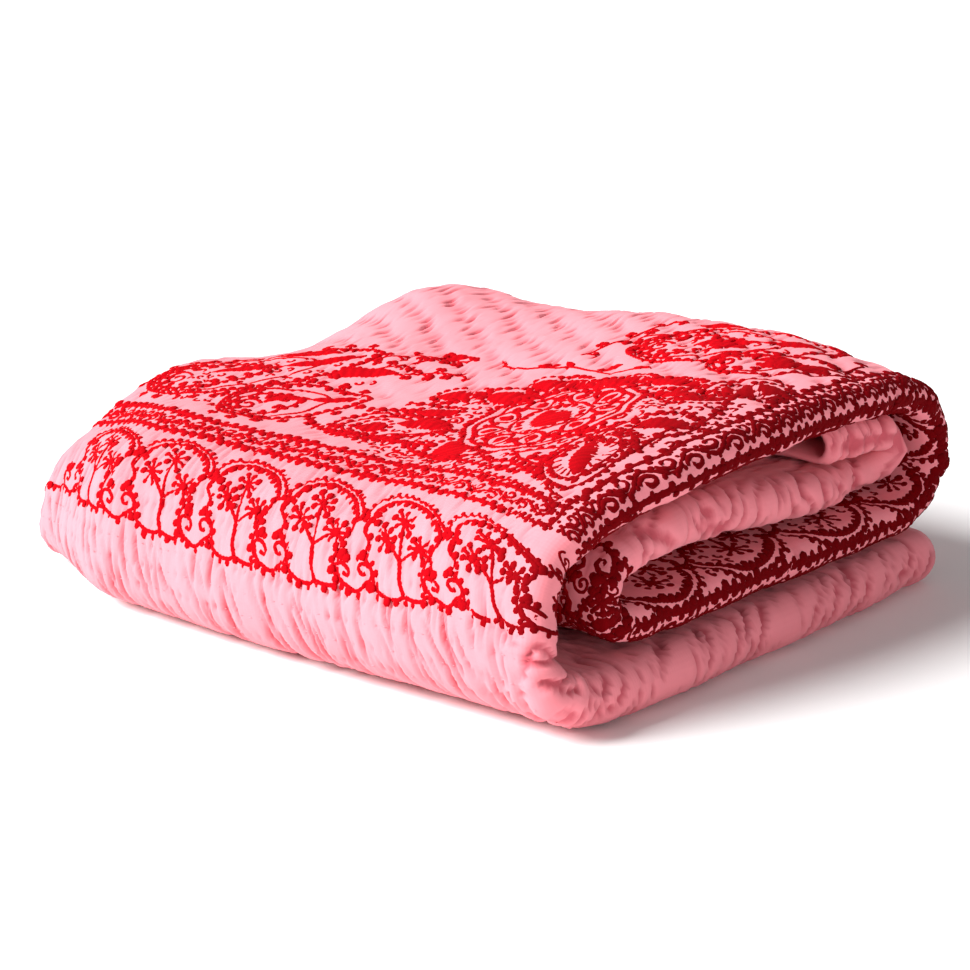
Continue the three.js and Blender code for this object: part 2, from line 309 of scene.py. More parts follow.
@dataclass
class FoldedCloth:
    """The flat sheet and how it is folded: in three across, then over and over along its length.

    Sizes in mm, apart from the flat length in metres.
    """

    layer: float = 5.5
    pitch: float = 8.0
    left_end: float = -243.0
    edge_back: float = 14.0
    edge_left: float = 6.0
    body_end: float = 30.0
    mouth_from: float = 205.0
    middle_x: float = 3.0
    middle_y: float = -8.0
    wobble: float = 1.6
    wobble_step: float = 1.9
    loft_from: float = -245.0
    loft_step: float = 70.0
    loft_depth: float = 160.0
    round_front: float = 0.2
    round_back: float = 0.1
    round_left: Pair = (130.0, 250.0)
    spans: Row = (452.0, 13.0, 470.0, 32.0, 460.0)
    flat_length: float = 1.8
    samples: int = 4001
    seams: Array = field(init=False)
    stations: Array = field(init=False)
    lengths: Array = field(init=False)

    def __post_init__(self) -> None:
        """Measures the way of the ply, so that the sheet can be read in mm along it."""
        self.seams = np.concatenate([[0], np.cumsum(self.spans)])
        self.stations = np.linspace(0, len(PLY_ROWS) - 1, self.samples)
        middle = np.full(self.samples, (self.seams[2] + self.seams[3]) / 2)
        self.lengths = distances(self._fold(self.stations, middle, self.layer / 2))

    @property
    def width(self) -> float:
        """Flat width from hem to hem in mm."""
        return float(self.seams[-1])

    @property
    def length(self) -> float:
        """Length of the outer face from hem to hem in mm."""
        return float(self.lengths[-1])

    def _section(self, row: Array, at: Array, across: Array, lift: Array) -> tuple[Array, Array]:
        """Folds the width in three.

        Args:
            row: Values of the ply table.
            at: Stations of the ply table.
            across: Places across the flat sheet in mm.
            lift: Distance outside the layer's middle in mm.

        Returns:
            x, and the offset from the ply's middle.
        """
        reach, puff = row[..., 4], row[..., 5]
        half = self.pitch * (1 + puff)
        wobble = self.wobble * np.sin(at * self.wobble_step * np.pi) * np.sin(at * self.wobble_step)
        right, left = reach + wobble - half, self.left_end + self.pitch / 2
        k = np.clip(np.searchsorted(self.seams, across, side="right") - 1, 0, 4)
        f = (across - self.seams[k]) / np.asarray(self.spans)[k]
        turn = np.pi * f
        inner = right - self.edge_back + f * (left - right + self.edge_back)
        outer = left + f * (right - left)
        under = right + f * (left + self.edge_left - right)
        tight, loose = self.pitch / 2 + lift, half + lift
        above, below = (self.pitch * (1 + puff * ease(side, self.body_end, self.mouth_from))
                        for side in (outer, under))
        parts = [k == i for i in range(5)]
        x = np.select(parts, [inner, left - tight * np.sin(turn), outer, right + loose * np.sin(turn), under])
        m = np.select(parts, [-lift, self.pitch / 2 - tight * np.cos(turn), above + lift,
                              loose * np.cos(turn), -below - lift])
        return x, m

    def _fold(self, at: Array, across: Array, lift: Array | float) -> Array:
        """Places points of the flat sheet in the folded stack, by their station in the ply table.

        Args:
            at: Stations of the ply table.
            across: Places across the flat sheet in mm.
            lift: Distance outside the layer's middle in mm.

        Returns:
            x, y and z in mm.
        """
        at, across, lift = np.broadcast_arrays(*(np.asarray(v, float) for v in (at, across, lift)))
        row, slope = spline(PLY_ROWS, at)
        x, m = self._section(row, at, across, lift)
        mouth = ease(x, self.body_end, self.mouth_from)
        y, z = (row[..., i] * (1 - mouth) + row[..., i + 2] * mouth for i in (0, 1))
        dy, dz = (slope[..., i] * (1 - mouth) + slope[..., i + 2] * mouth for i in (0, 1))
        size = np.hypot(dy, dz)
        y, z = y - m * dz / size, z + m * dy / size
        t = np.clip((y + self.loft_depth) / (2 * self.loft_depth), 0, 1)
        loft, _ = spline(LOFT_ROWS, (x - self.loft_from) / self.loft_step)
        raised = loft[..., 0] * (1 - t) ** 2 + loft[..., 1] * 2 * t * (1 - t) + loft[..., 2] * t**2
        for swell_x, swell_y, wide, deep, rise in SWELL_ROWS:
            raised = raised + rise * np.exp(-((x - swell_x) / wide) ** 2 - ((y - swell_y) / deep) ** 2)
        drawn = 1 - np.where(y < 0, self.round_front, self.round_back) * ease(-x, *self.round_left)
        return np.stack([x - self.middle_x, y * drawn - self.middle_y, z * raised], -1)

    def place(self, along: Array, across: Array, lift: Array | float) -> Array:
        """Places points, given in mm along, across and outside the sheet's middle, in the stack in metres."""
        return self._fold(np.interp(along, self.lengths, self.stations), across, lift) * MM


@dataclass(frozen=True)
class Crease:
    """A soft trough in the cloth, at a given place. Sizes in mm, turn in degrees from across to along."""

    across: float
    along: float
    turn: float
    length: float
    width: float
    depth: float
    wander: float = 0.12
    bends: float = 5.0
    reach: float = 0.55

    def press(self, along: Array, across: Array) -> Array:
        """Gives its depth at places of the flat sheet.

        Args:
            along: Places along in mm.
            across: Places across in mm.

        Returns:
            How far the face is pressed in, in mm.
        """
        c, s = heading(self.turn)
        dx, dy = across - self.across, along - self.along
        run, aside = dx * c + dy * s, dy * c - dx * s
        aside = aside + self.wander * self.width * np.sin(run / self.length * self.bends)
        ends = np.exp(-((run / (self.reach * self.length)) ** 4))
        return self.depth * np.exp(-((aside / self.width) ** 2)) * ends


@dataclass(frozen=True)
class Furrows:
    """Short furrows that sewing draws in the cloth, one near each place of a lattice, as uneven as by hand.

    Sizes in mm: the lattice's spacing aside and along the run, a furrow's half length, half width and depth,
    how far it leans aside for each mm of its run, how far the rows of the lattice slant, and how far furrows
    stray from their rows. The share that is missing makes the weakest furrows vanish. The force, shift,
    tilt, widths and reaches say how far single furrows differ.
    """

    seed: int
    aside_step: float
    run_step: float
    reach: float
    width: float
    depth: float
    lean: float = 0.0
    slant: float = 0.0
    stray: float = 1.0
    missing: float = 0.3
    strongest: float = 1.25
    force: float = 1.7
    shift: float = 0.7
    tilt: float = 0.5
    widths: Pair = (0.75, 0.5)
    reaches: Pair = (0.6, 0.8)
    cells: int = 64

    def press(self, along: Array, aside: Array) -> Array:
        """Gives their depth.

        Args:
            along: Places in mm along the furrows' run.
            aside: Places in mm across it.

        Returns:
            How far the face is drawn in, in mm.
        """
        chance = np.random.default_rng(self.seed).uniform(0, 1, (6, self.cells, self.cells))
        row, column = (along + self.slant * aside) / self.run_step, aside / self.aside_step
        first_row, first_column = np.floor(row).astype(int), np.floor(column).astype(int)
        drawn = np.zeros(row.shape)
        for n in (first_row - 1, first_row, first_row + 1):
            for i in (first_column - 1, first_column, first_column + 1):
                shift, start, tilt, force, length, breadth = chance[:, n % self.cells, i % self.cells]
                off = (column - i - 0.5 - self.shift * (shift - 0.5)) * self.aside_step
                run = (row - n - 0.5 - self.stray * (start - 0.5)) * self.run_step - self.slant * off
                off = off + (self.lean + self.tilt * (tilt - 0.5)) * run
                width = self.width * grown(self.widths, breadth)
                reach = self.reach * grown(self.reaches, length)
                shape = np.exp(-((off / width) ** 2) - (run / reach) ** 2)
                depth = np.clip(self.force * force - self.missing, 0, self.strongest)
                drawn = np.maximum(drawn, depth * shape)
        return self.depth * drawn


@dataclass
class Quilting:
    """The relief of the quilted face: rows of running stitch, the puckers that they draw, and creases.

    Sizes in mm. A pair of places says where a change along the sheet starts and where it is complete.
    A pair of shares is a least one, and what the cloth's lowness, quilting or unevenness adds to it.
    """

    cloth: FoldedCloth
    base_line: float = 458.0
    field_from: float = 566.0
    field_lead: float = 10.0
    field_to: float = 1306.0
    far_line: float = 1416.0
    blend: float = 8.0
    margin_row: float = 14.0
    margin_stitch: float = 8.0
    first_row: float = 6.0
    row_shift: float = 0.31
    dimple_width: float = 2.4
    dimple_depth: float = 1.9
    dimple_force: float = 0.6
    dimple_range: Pair = (0.1, 1.3)
    dimple_step: Pair = (0.71, 1.3)
    margin_puff: float = 0.5
    pleat_shares: Pair = (1.15, 0.2)
    gather_shares: Pair = (0.4, 0.8)
    above_low: Pair = (392.0, 452.0)
    above_lowest: Pair = (372.0, 400.0)
    well_quilted: Pair = (640.0, 750.0)
    valley_width: float = 8.0
    valley_depth: float = 1.1
    row_drift: float = 2.2
    field_puff: Pair = (0.4, 0.5)
    quilted_shares: Pair = (0.4, 0.6)
    band_puff: Pair = (0.32, 0.5)
    band_drop: float = 0.3
    band_pleats: float = 0.5
    swell: float = 1.3
    end_row: float = 22.0
    end_drift: float = 0.9
    end_slant: float = 90.0
    low_slant: Pair = (1.0, 2.2)
    end_sharp: float = 2.4
    end_depth: float = 3.6
    end_force: Pair = (0.7, 1.2)
    end_strongest: float = 1.5
    end_step: float = 0.83
    end_puff: float = 0.6
    sewn_lead: float = 14.0
    sewn_tail: float = 10.0
    sewn_flat: float = 0.8
    end_from: Pair = (-16.0, 6.0)
    seen_from: Pair = (372.0, 392.0)
    seen_to: Pair = (985.0, 1010.0)
    end_seen_from: Pair = (385.0, 405.0)
    proud_from: Pair = (330.0, 380.0)
    end_proud: float = 0.5
    hidden_proud: float = 0.25
    deepest: float = 5.0
    pleats: Furrows = Furrows(6, 7.2, 26, 15, 1.3, 2.4, lean=0.25, missing=0.1)
    gathers: Furrows = Furrows(17, 17, 60, 34, 2.8, 3.0, lean=0.25)
    puckers: Furrows = Furrows(9, 7.2, 34, 6.6, 1.1, 2.8, slant=0.675, stray=0.36, missing=-0.2)
    crumples: Furrows = Furrows(18, 9, 13, 4.2, 1.5, 0.6)
    end_wrinkles: Furrows = Furrows(12, 13, 28, 13, 1.9, 4.6, lean=0.3)
    low_wrinkles: Furrows = Furrows(24, 10, 24, 14, 1.7, 5.0, lean=0.9)
    creases: tuple[Crease, ...] = tuple(Crease(*row) for row in (
        (928, 398, 84, 70, 4.5, 3.6), (914, 408, 88, 90, 4.0, 2.2), (944, 412, 74, 60, 5.0, 3.4),
        (902, 392, 95, 60, 3.5, 1.8), (720, 742, 4, 190, 15, 1.5), (600, 752, -12, 130, 16, 0.9),
        (560, 596, 14, 130, 13, 2.0), (700, 588, -4, 150, 12, 1.6), (868, 640, 38, 110, 11, 2.0),
        (520, 700, 52, 90, 12, 1.5), (640, 668, 30, 90, 10, 1.4), (842, 768, 12, 120, 14, 2.0),
    ))
    end_creases: tuple[Crease, ...] = tuple(Crease(*row) for row in (
        (950, 1790, 90, 120, 3.4, 3.8), (944, 1738, 8, 40, 3.6, 3.2), (956, 1756, -14, 44, 3.2, 3.4),
        (962, 1716, 70, 40, 3.4, 2.6), (946, 1452, 62, 50, 4.0, 3.0), (958, 1530, 74, 60, 3.6, 2.8),
    ))

    def stitch_row(self, across: Array, number: Array | int) -> Array:
        """Where a row of the margin's running stitch runs along in mm, by its number from the embroidery."""
        even = self.base_line - self.first_row + number * self.margin_row
        return even + Unevenness(3, 37, 20)(across, even)

    def at_end(self, across: Array) -> Array:
        """How far each place belongs to the fold at the right end."""
        return ease(across, *(self.cloth.seams[3] + edge for edge in self.end_from))

    @staticmethod
    def pressed(creases: tuple[Crease, ...], along: Array, across: Array) -> Array:
        """How far creases press the face in, in mm."""
        return sum(crease.press(along, across) for crease in creases)

    def margin(self, along: Array, across: Array) -> Array:
        """Relief of the plain margin: a dimple at each stitch, and pleats that run down between the rows.

        Args:
            along: Places along in mm.
            across: Places across in mm.

        Returns:
            Height in mm.
        """
        number = np.round((along - self.base_line + self.first_row) / self.margin_row)
        off = along - self.stitch_row(across, number)
        stitch = across / self.margin_stitch + self.row_shift * number
        aside, onward = self.dimple_step
        force = self.dimple_force + Unevenness(28)(np.round(stitch) * aside, number * onward)
        sewn = (0.5 + 0.5 * np.cos(2 * np.pi * stitch)) ** 3 * np.exp(-((off / self.dimple_width) ** 2))
        dimple = self.dimple_depth * np.clip(force, *self.dimple_range) * sewn
        low = 1 - ease(along, *self.above_low)
        pleats = grown(self.pleat_shares, low) * self.pleats.press(along, across)
        gathers = grown(self.gather_shares, low) * self.gathers.press(along, across)
        return self.margin_puff - dimple - pleats - gathers

    def inner_field(self, along: Array, across: Array) -> Array:
        """Relief of the field: slanting rows crossed by short puckers, and smoother cloth at the front.

        Args:
            along: Places along in mm.
            across: Places across in mm.

        Returns:
            Height in mm.
        """
        step = self.puckers.run_step
        drift = self.row_drift * Unevenness(7, 45, 45)(across, along)
        row = (along + self.puckers.slant * across + drift) / step - 0.5
        valley = self.valley_depth * np.exp(-(((row - np.round(row)) * step / self.valley_width) ** 2))
        puff = grown(self.field_puff, Unevenness(20, 9, 9)(across, along))
        quilted = grown(self.quilted_shares, ease(along, *self.well_quilted))
        drawn = valley + self.puckers.press(along, across) + self.crumples.press(along, across)
        return puff - quilted * drawn

    def fold_end(self, along: Array, across: Array) -> Array:
        """Relief of the folds at the right end: crisp valleys with finer wrinkles, flatter under the yarn.

        Args:
            along: Places along in mm.
            across: Places across in mm.

        Returns:
            Height in mm.
        """
        lowest = 1 - ease(along, *self.above_lowest)
        slant = grown(self.low_slant, lowest) * across / self.end_slant
        wide = along / self.end_row + self.end_drift * Unevenness(10, 29, 15)(along, across) + slant
        valley = (1 - np.abs(np.sin(np.pi * wide))) ** self.end_sharp
        force = grown(self.end_force, Unevenness(11, deep=17)(np.round(wide) * self.end_step, across))
        depth = (self.end_depth - lowest) * np.clip(force, 0.0, self.end_strongest)
        high, low = self.end_wrinkles.press(across, along), self.low_wrinkles.press(across, along)
        wrinkles = high * (1 - lowest) + low * lowest
        sewn = ease(along, self.base_line - self.sewn_lead, self.base_line)
        sewn = sewn * (1 - ease(along, self.far_line - self.sewn_tail, self.far_line))
        height = (1 - self.sewn_flat * sewn) * (self.end_puff * (1 - valley) - depth * valley - wrinkles)
        return height - self.pressed(self.end_creases, along, across)

    def soft(self, along: Array, across: Array) -> Array:
        """Height in mm of the broad swells and creases of the face, away from the folds at the right end."""
        swell = self.swell * Unevenness(15, 62, 48)(across, along)
        return (swell - self.pressed(self.creases, along, across)) * (1 - self.at_end(across))

    def relief(self, along: Array, across: Array) -> Array:
        """Height of the quilted face over its even layer.

        Args:
            along: Places along in mm.
            across: Places across in mm.

        Returns:
            Height in mm, below zero where the face is drawn in.
        """
        along, across = np.broadcast_arrays(np.asarray(along, float), np.asarray(across, float))
        lines = ((self.base_line, self.blend), (self.field_from, self.field_lead),
                 (self.field_to, self.blend), (self.far_line, self.blend))
        sewn, within, after, beyond = (ease(along, line - lead, line + self.blend) for line, lead in lines)
        plain, inside = 1 - sewn + beyond, within * (1 - after)
        band = np.clip(1 - plain - inside, 0, 1)
        fine, broad = Unevenness(13, 7, 11)(across, along), Unevenness(14, 15, 24)(across, along)
        puff = self.band_puff[0] * fine + self.band_puff[1] * broad - self.band_drop
        margin = self.margin(along, across)
        flat = plain * margin + inside * self.inner_field(along, across)
        flat = flat + band * (puff + self.band_pleats * margin)
        end = self.at_end(across)
        height = flat * (1 - end) + self.soft(along, across) + self.fold_end(along, across) * end
        height = np.maximum(height, -self.deepest)
        outside = ease(along, *self.seen_from) * (1 - ease(along, *self.seen_to))
        outside = outside * ease(across, *self.cloth.seams[1:3])
        seen = np.maximum(outside, self.end_proud * end * ease(along, *self.end_seen_from))
        proud = self.hidden_proud * ease(along, *self.proud_from)
        return np.where(height > 0, height * np.maximum(seen, proud), height)


class Side(Enum):
    """Which side of the sheet is built, and which way it lies from the sheet's middle."""

    FACE = 1
    BACK = -1


@dataclass
class Panel:
    """One block of the sheet's points: its columns across and its stations along, in mm."""

    columns: Array
    stations: Array


@dataclass
class QuiltedSheet:
    """The one sheet of quilted cotton, with its thickness and its relief, closed at its hems. Sizes in mm."""

    cloth: FoldedCloth
    quilting: Quilting
    name: str = "quilted_sheet"
    hem_share: float = 0.55
    hem_depth: float = 7.0
    plain_hem: float = 14.0
    fine: float = 1.22
    plain_step: float = 11.0
    end_step: float = 3.1
    end_from: float = 46.0
    tucked: float = 104.0
    shown: Row = (373.6, 462.0, 640.0, 850.0, 1000.0)
    shown_steps: Row = (2.8, 4.4, 3.2, 7.6)
    # Painted shade: how far the face is drawn in before its colour darkens, and over what further depth it
    # darkens fully.
    painted_shade_from: float = 0.45
    painted_shade_span: float = 2.8
    points: list[Array] = field(default_factory=list)
    faces: list[tuple[int, ...]] = field(default_factory=list)
    flat: list[Array] = field(default_factory=list)
    painted_furrow_shades: list[Array] = field(default_factory=list)
    count: int = 0

    def _along(self, step: float) -> Array:
        """Even stations along the whole sheet in mm, with one at each end of its hems."""
        end, hem = self.cloth.length, self.hem_depth
        return np.concatenate([[0.0], np.linspace(hem, end - hem, int((end - 2 * hem) / step)), [end]])

    def _back(self) -> Panel:
        """The back of the sheet as one block.

        Returns:
            The block.
        """
        s, hem = self.cloth.seams, self.hem_depth
        inner = stretches((30, s[1], 7), (s[1], s[2], 6), (s[2], s[3], 20), (s[3], s[4], 8),
                          (s[4], s[5] - hem, 12))
        return Panel(np.concatenate([[0, hem, 30], inner, [s[5]]]), self._along(self.plain_step))

    def _face(self) -> list[list[Panel]]:
        """The blocks of the face from the left hem to the right one, each a run of blocks along the sheet.

        Returns:
            Runs of blocks, to be joined to their neighbours.
        """
        s, hem = self.cloth.seams, self.hem_depth
        plain, close = self._along(self.plain_step), self._along(self.end_step)
        first, last = self.shown[0], self.shown[-1]
        mouth, tuck = s[3] - self.end_from, s[4] + self.tucked
        left = np.concatenate([[0, hem, 40], stretches((40, s[1], 7), (s[1], s[2], 7))])
        coarse = stretches((s[2], mouth, 46))
        middle = stretches((s[2], mouth, int((mouth - s[2]) / self.fine)))
        spans = zip(self.shown, self.shown[1:], self.shown_steps)
        seen = np.concatenate([np.arange(a, b - 0.5 * step, step) for a, b, step in spans] + [[last]])
        fold = stretches((mouth, s[3], 20), (s[3], s[4], 13), (s[4], tuck, 15))
        right = np.concatenate([stretches((tuck, s[5] - hem, 7)), [s[5]]])
        turned = np.concatenate([close[close < first - 2], seen, close[close > last + 2]])
        under, inside = plain[plain < first - 4], plain[plain > last + 4]
        return [[Panel(left, plain)],
                [Panel(coarse, under), Panel(middle, seen), Panel(coarse, inside)],
                [Panel(fold, turned)], [Panel(right, plain)]]

    def _lay(self, panel: Panel, side: Side) -> Array:
        """Adds a block's points.

        Args:
            panel: The block.
            side: Face or back of the sheet.

        Returns:
            Point numbers, one row for each station.
        """
        along, across = np.meshgrid(panel.stations, panel.columns, indexing="ij")
        end, wide = self.cloth.length, self.cloth.width
        edge = np.minimum(np.minimum(along, end - along), np.minimum(across, wide - across))
        half = self.cloth.layer / 2 * (self.hem_share + (1 - self.hem_share) * ease(edge, 0, self.hem_depth))
        height = drawn = np.zeros_like(along)
        if side is Side.FACE:
            height = self.quilting.relief(along, across) * ease(edge, 0, self.plain_hem)
            drawn = height - self.quilting.soft(along, across)
        self.points.append(self.cloth.place(along, across, side.value * half + height).reshape(-1, 3))
        self.flat.append(np.stack([across, along], -1).reshape(-1, 2) * MM)
        # Painted shade: a share of darker colour where the face is drawn in.
        self.painted_furrow_shades.append(np.clip((-drawn - self.painted_shade_from) / self.painted_shade_span, 0, 1).reshape(-1))
        numbers = self.count + np.arange(along.size).reshape(along.shape)
        self.count += along.size
        return numbers

    def _weave(self, numbers: Array, side: Side) -> None:
        """Adds a block's faces.

        Args:
            numbers: Its point numbers.
            side: Face or back of the sheet.
        """
        a, b, c, d = numbers[:-1, :-1], numbers[:-1, 1:], numbers[1:, 1:], numbers[1:, :-1]
        order = (a, b, c, d) if side is Side.FACE else (a, d, c, b)
        self.faces += [tuple(q) for q in np.stack(order, -1).reshape(-1, 4).tolist()]

    def _zip(self, first: Array, second: Array, first_at: Array, second_at: Array) -> None:
        """Joins two lines of points with triangles.

        Args:
            first: Point numbers of the line on the left, seen from outside.
            second: Point numbers of the line on the right.
            first_at: Places of the first line's points along it.
            second_at: Places of the second line's points along it.
        """
        i = j = 0
        while i < len(first) - 1 or j < len(second) - 1:
            start = (int(first[i]), int(second[j]))
            if j == len(second) - 1 or (i < len(first) - 1 and first_at[i + 1] <= second_at[j + 1]):
                i += 1
                self.faces.append((*start, int(first[i])))
            else:
                j += 1
                self.faces.append((*start, int(second[j])))

    def build(self) -> bpy.types.Object:
        """Builds the closed sheet.

        Returns:
            The sheet's object, with its flat places as a UV map and its painted shade in the furrows as an
            attribute.
        """
        runs = self._face()
        laid = [[self._lay(p, Side.FACE) for p in run] for run in runs]
        stations = [np.concatenate([p.stations for p in run]) for run in runs]
        for run, blocks in zip(runs, laid):
            for numbers in blocks:
                self._weave(numbers, Side.FACE)
            for i in range(len(run) - 1):
                self._zip(blocks[i + 1][0], blocks[i][-1], run[i + 1].columns, run[i].columns)
        back = self._back()
        under = self._lay(back, Side.BACK)
        self._weave(under, Side.BACK)
        lefts, rights = ([np.concatenate([b[:, edge] for b in run]) for run in laid] for edge in (0, -1))
        for i in range(len(runs) - 1):
            self._zip(rights[i], lefts[i + 1], stations[i], stations[i + 1])
        self._zip(under[:, 0], lefts[0], back.stations, stations[0])
        self._zip(rights[-1], under[:, -1], stations[-1], back.stations)
        ends = [np.concatenate([blocks[end][end] for blocks in laid]) for end in (0, -1)]
        ends_at = [np.concatenate([run[end].columns for run in runs]) for end in (0, -1)]
        self._zip(ends[0], under[0], ends_at[0], back.columns)
        self._zip(under[-1], ends[1], back.columns, ends_at[1])
        sheet = make_piece(self.name, np.vstack(self.points), self.faces, "flat", np.vstack(self.flat))
        painted_furrow_shades = np.concatenate(self.painted_furrow_shades).astype(np.float32)
        sheet.data.attributes.new("painted_furrow_shade", "FLOAT", "POINT").data.foreach_set("value", painted_furrow_shades)
        return sheet


@dataclass(frozen=True)
class Spot:
    """Where a motif stands on the flat cloth: origin in mm, turn in degrees, size, width and lean."""

    across: float
    along: float
    turn: float = 0.0
    size: float = 1.0
    wide: float = 1.0
    lean: float = 0.0

    def flat(self, points: Array | Pair) -> Array:
        """Moves a motif's own points to the cloth.

        Args:
            points: Points of the motif in mm, to its right and up.

        Returns:
            Places across and along in mm.
        """
        p = np.atleast_2d(np.asarray(points, float)) * (self.size * self.wide, self.size)
        p = p + self.lean * p[:, 1:] * (1, 0)
        c, s = heading(self.turn)
        return p @ np.array([[c, s], [-s, c]]) + (self.across, self.along)

    def at(self, point: Array | Pair, turn: float, size: float = 1.0) -> "Spot":
        """A spot at one of the motif's own points, with its own turn on the cloth."""
        return Spot(*self.flat(point)[0], turn, size)


PLAIN_CLOTH = Spot(0, 0)


@dataclass(frozen=True)
class ClothPull:
    """How the folded cloth moves what is sewn on it. Sizes in mm, and ranges as places across or along.

    The left end is raised and drawn aside, the arches spread towards the corner, and the border sags there
    and is drawn together, so that its work is finer.
    """

    stray: float = 0.8
    stray_size: float = 19.0
    raised: float = 9.0
    raised_across: Pair = (540.0, 720.0)
    raised_along: Pair = (500.0, 560.0)
    sag: float = 43.0
    sag_across: Pair = (730.0, 970.0)
    sag_along: Row = (462.0, 519.0, 545.0, 590.0)
    sag_shares: Row = (0.0, 0.4, 0.6, 1.0)
    sag_end: Pair = (585.0, 690.0)
    spread_across: Row = (740.0, 810.0, 880.0, 950.0, 1000.0)
    spread: Row = (0.0, 5.0, 12.0, 22.0, 0.0)
    spread_end: Pair = (500.0, 530.0)
    aside: float = 18.0
    aside_across: Pair = (500.0, 640.0)
    aside_along: Pair = (520.0, 560.0)
    finer: float = 0.28
    finer_across: Pair = (740.0, 860.0)
    finer_from: Pair = (505.0, 530.0)
    finer_to: Pair = (575.0, 592.0)

    def moved(self, flat: Array) -> Array:
        """Lets the drawing lean and wander as the cloth and the hand do.

        Args:
            flat: Places across and along in mm.

        Returns:
            The places where they are sewn.
        """
        across, along = flat[:, 0], flat[:, 1]
        raised = self.raised * (1 - ease(across, *self.raised_across)) * (1 - ease(along, *self.raised_along))
        drawn = np.interp(along, self.sag_along, self.sag_shares) * (1 - ease(along, *self.sag_end))
        sag = self.sag * ease(across, *self.sag_across) * drawn
        spread = np.interp(across, self.spread_across, self.spread) * (1 - ease(along, *self.spread_end))
        aside = self.aside * (1 - ease(across, *self.aside_across)) * (1 - ease(along, *self.aside_along))
        patches = (Unevenness(seed, self.stray_size, self.stray_size) for seed in (21, 22))
        dx, dy = (self.stray * patch(across, along) for patch in patches)
        return flat + np.stack([dx + spread - aside, dy + raised - sag], -1)

    def fineness(self, flat: Array) -> Array:
        """Share of the usual width that the work has at each place.

        Args:
            flat: Places across and along in mm.

        Returns:
            The shares.
        """
        across, along = flat[:, 0], flat[:, 1]
        drawn = ease(along, *self.finer_from) * (1 - ease(along, *self.finer_to))
        return 1 - self.finer * ease(across, *self.finer_across) * drawn


@dataclass
class Ridge:
    """One raised run of yarn: its middle line on the flat cloth, half its width and its rise, in mm."""

    line: Array
    half: Array
    rise: Array


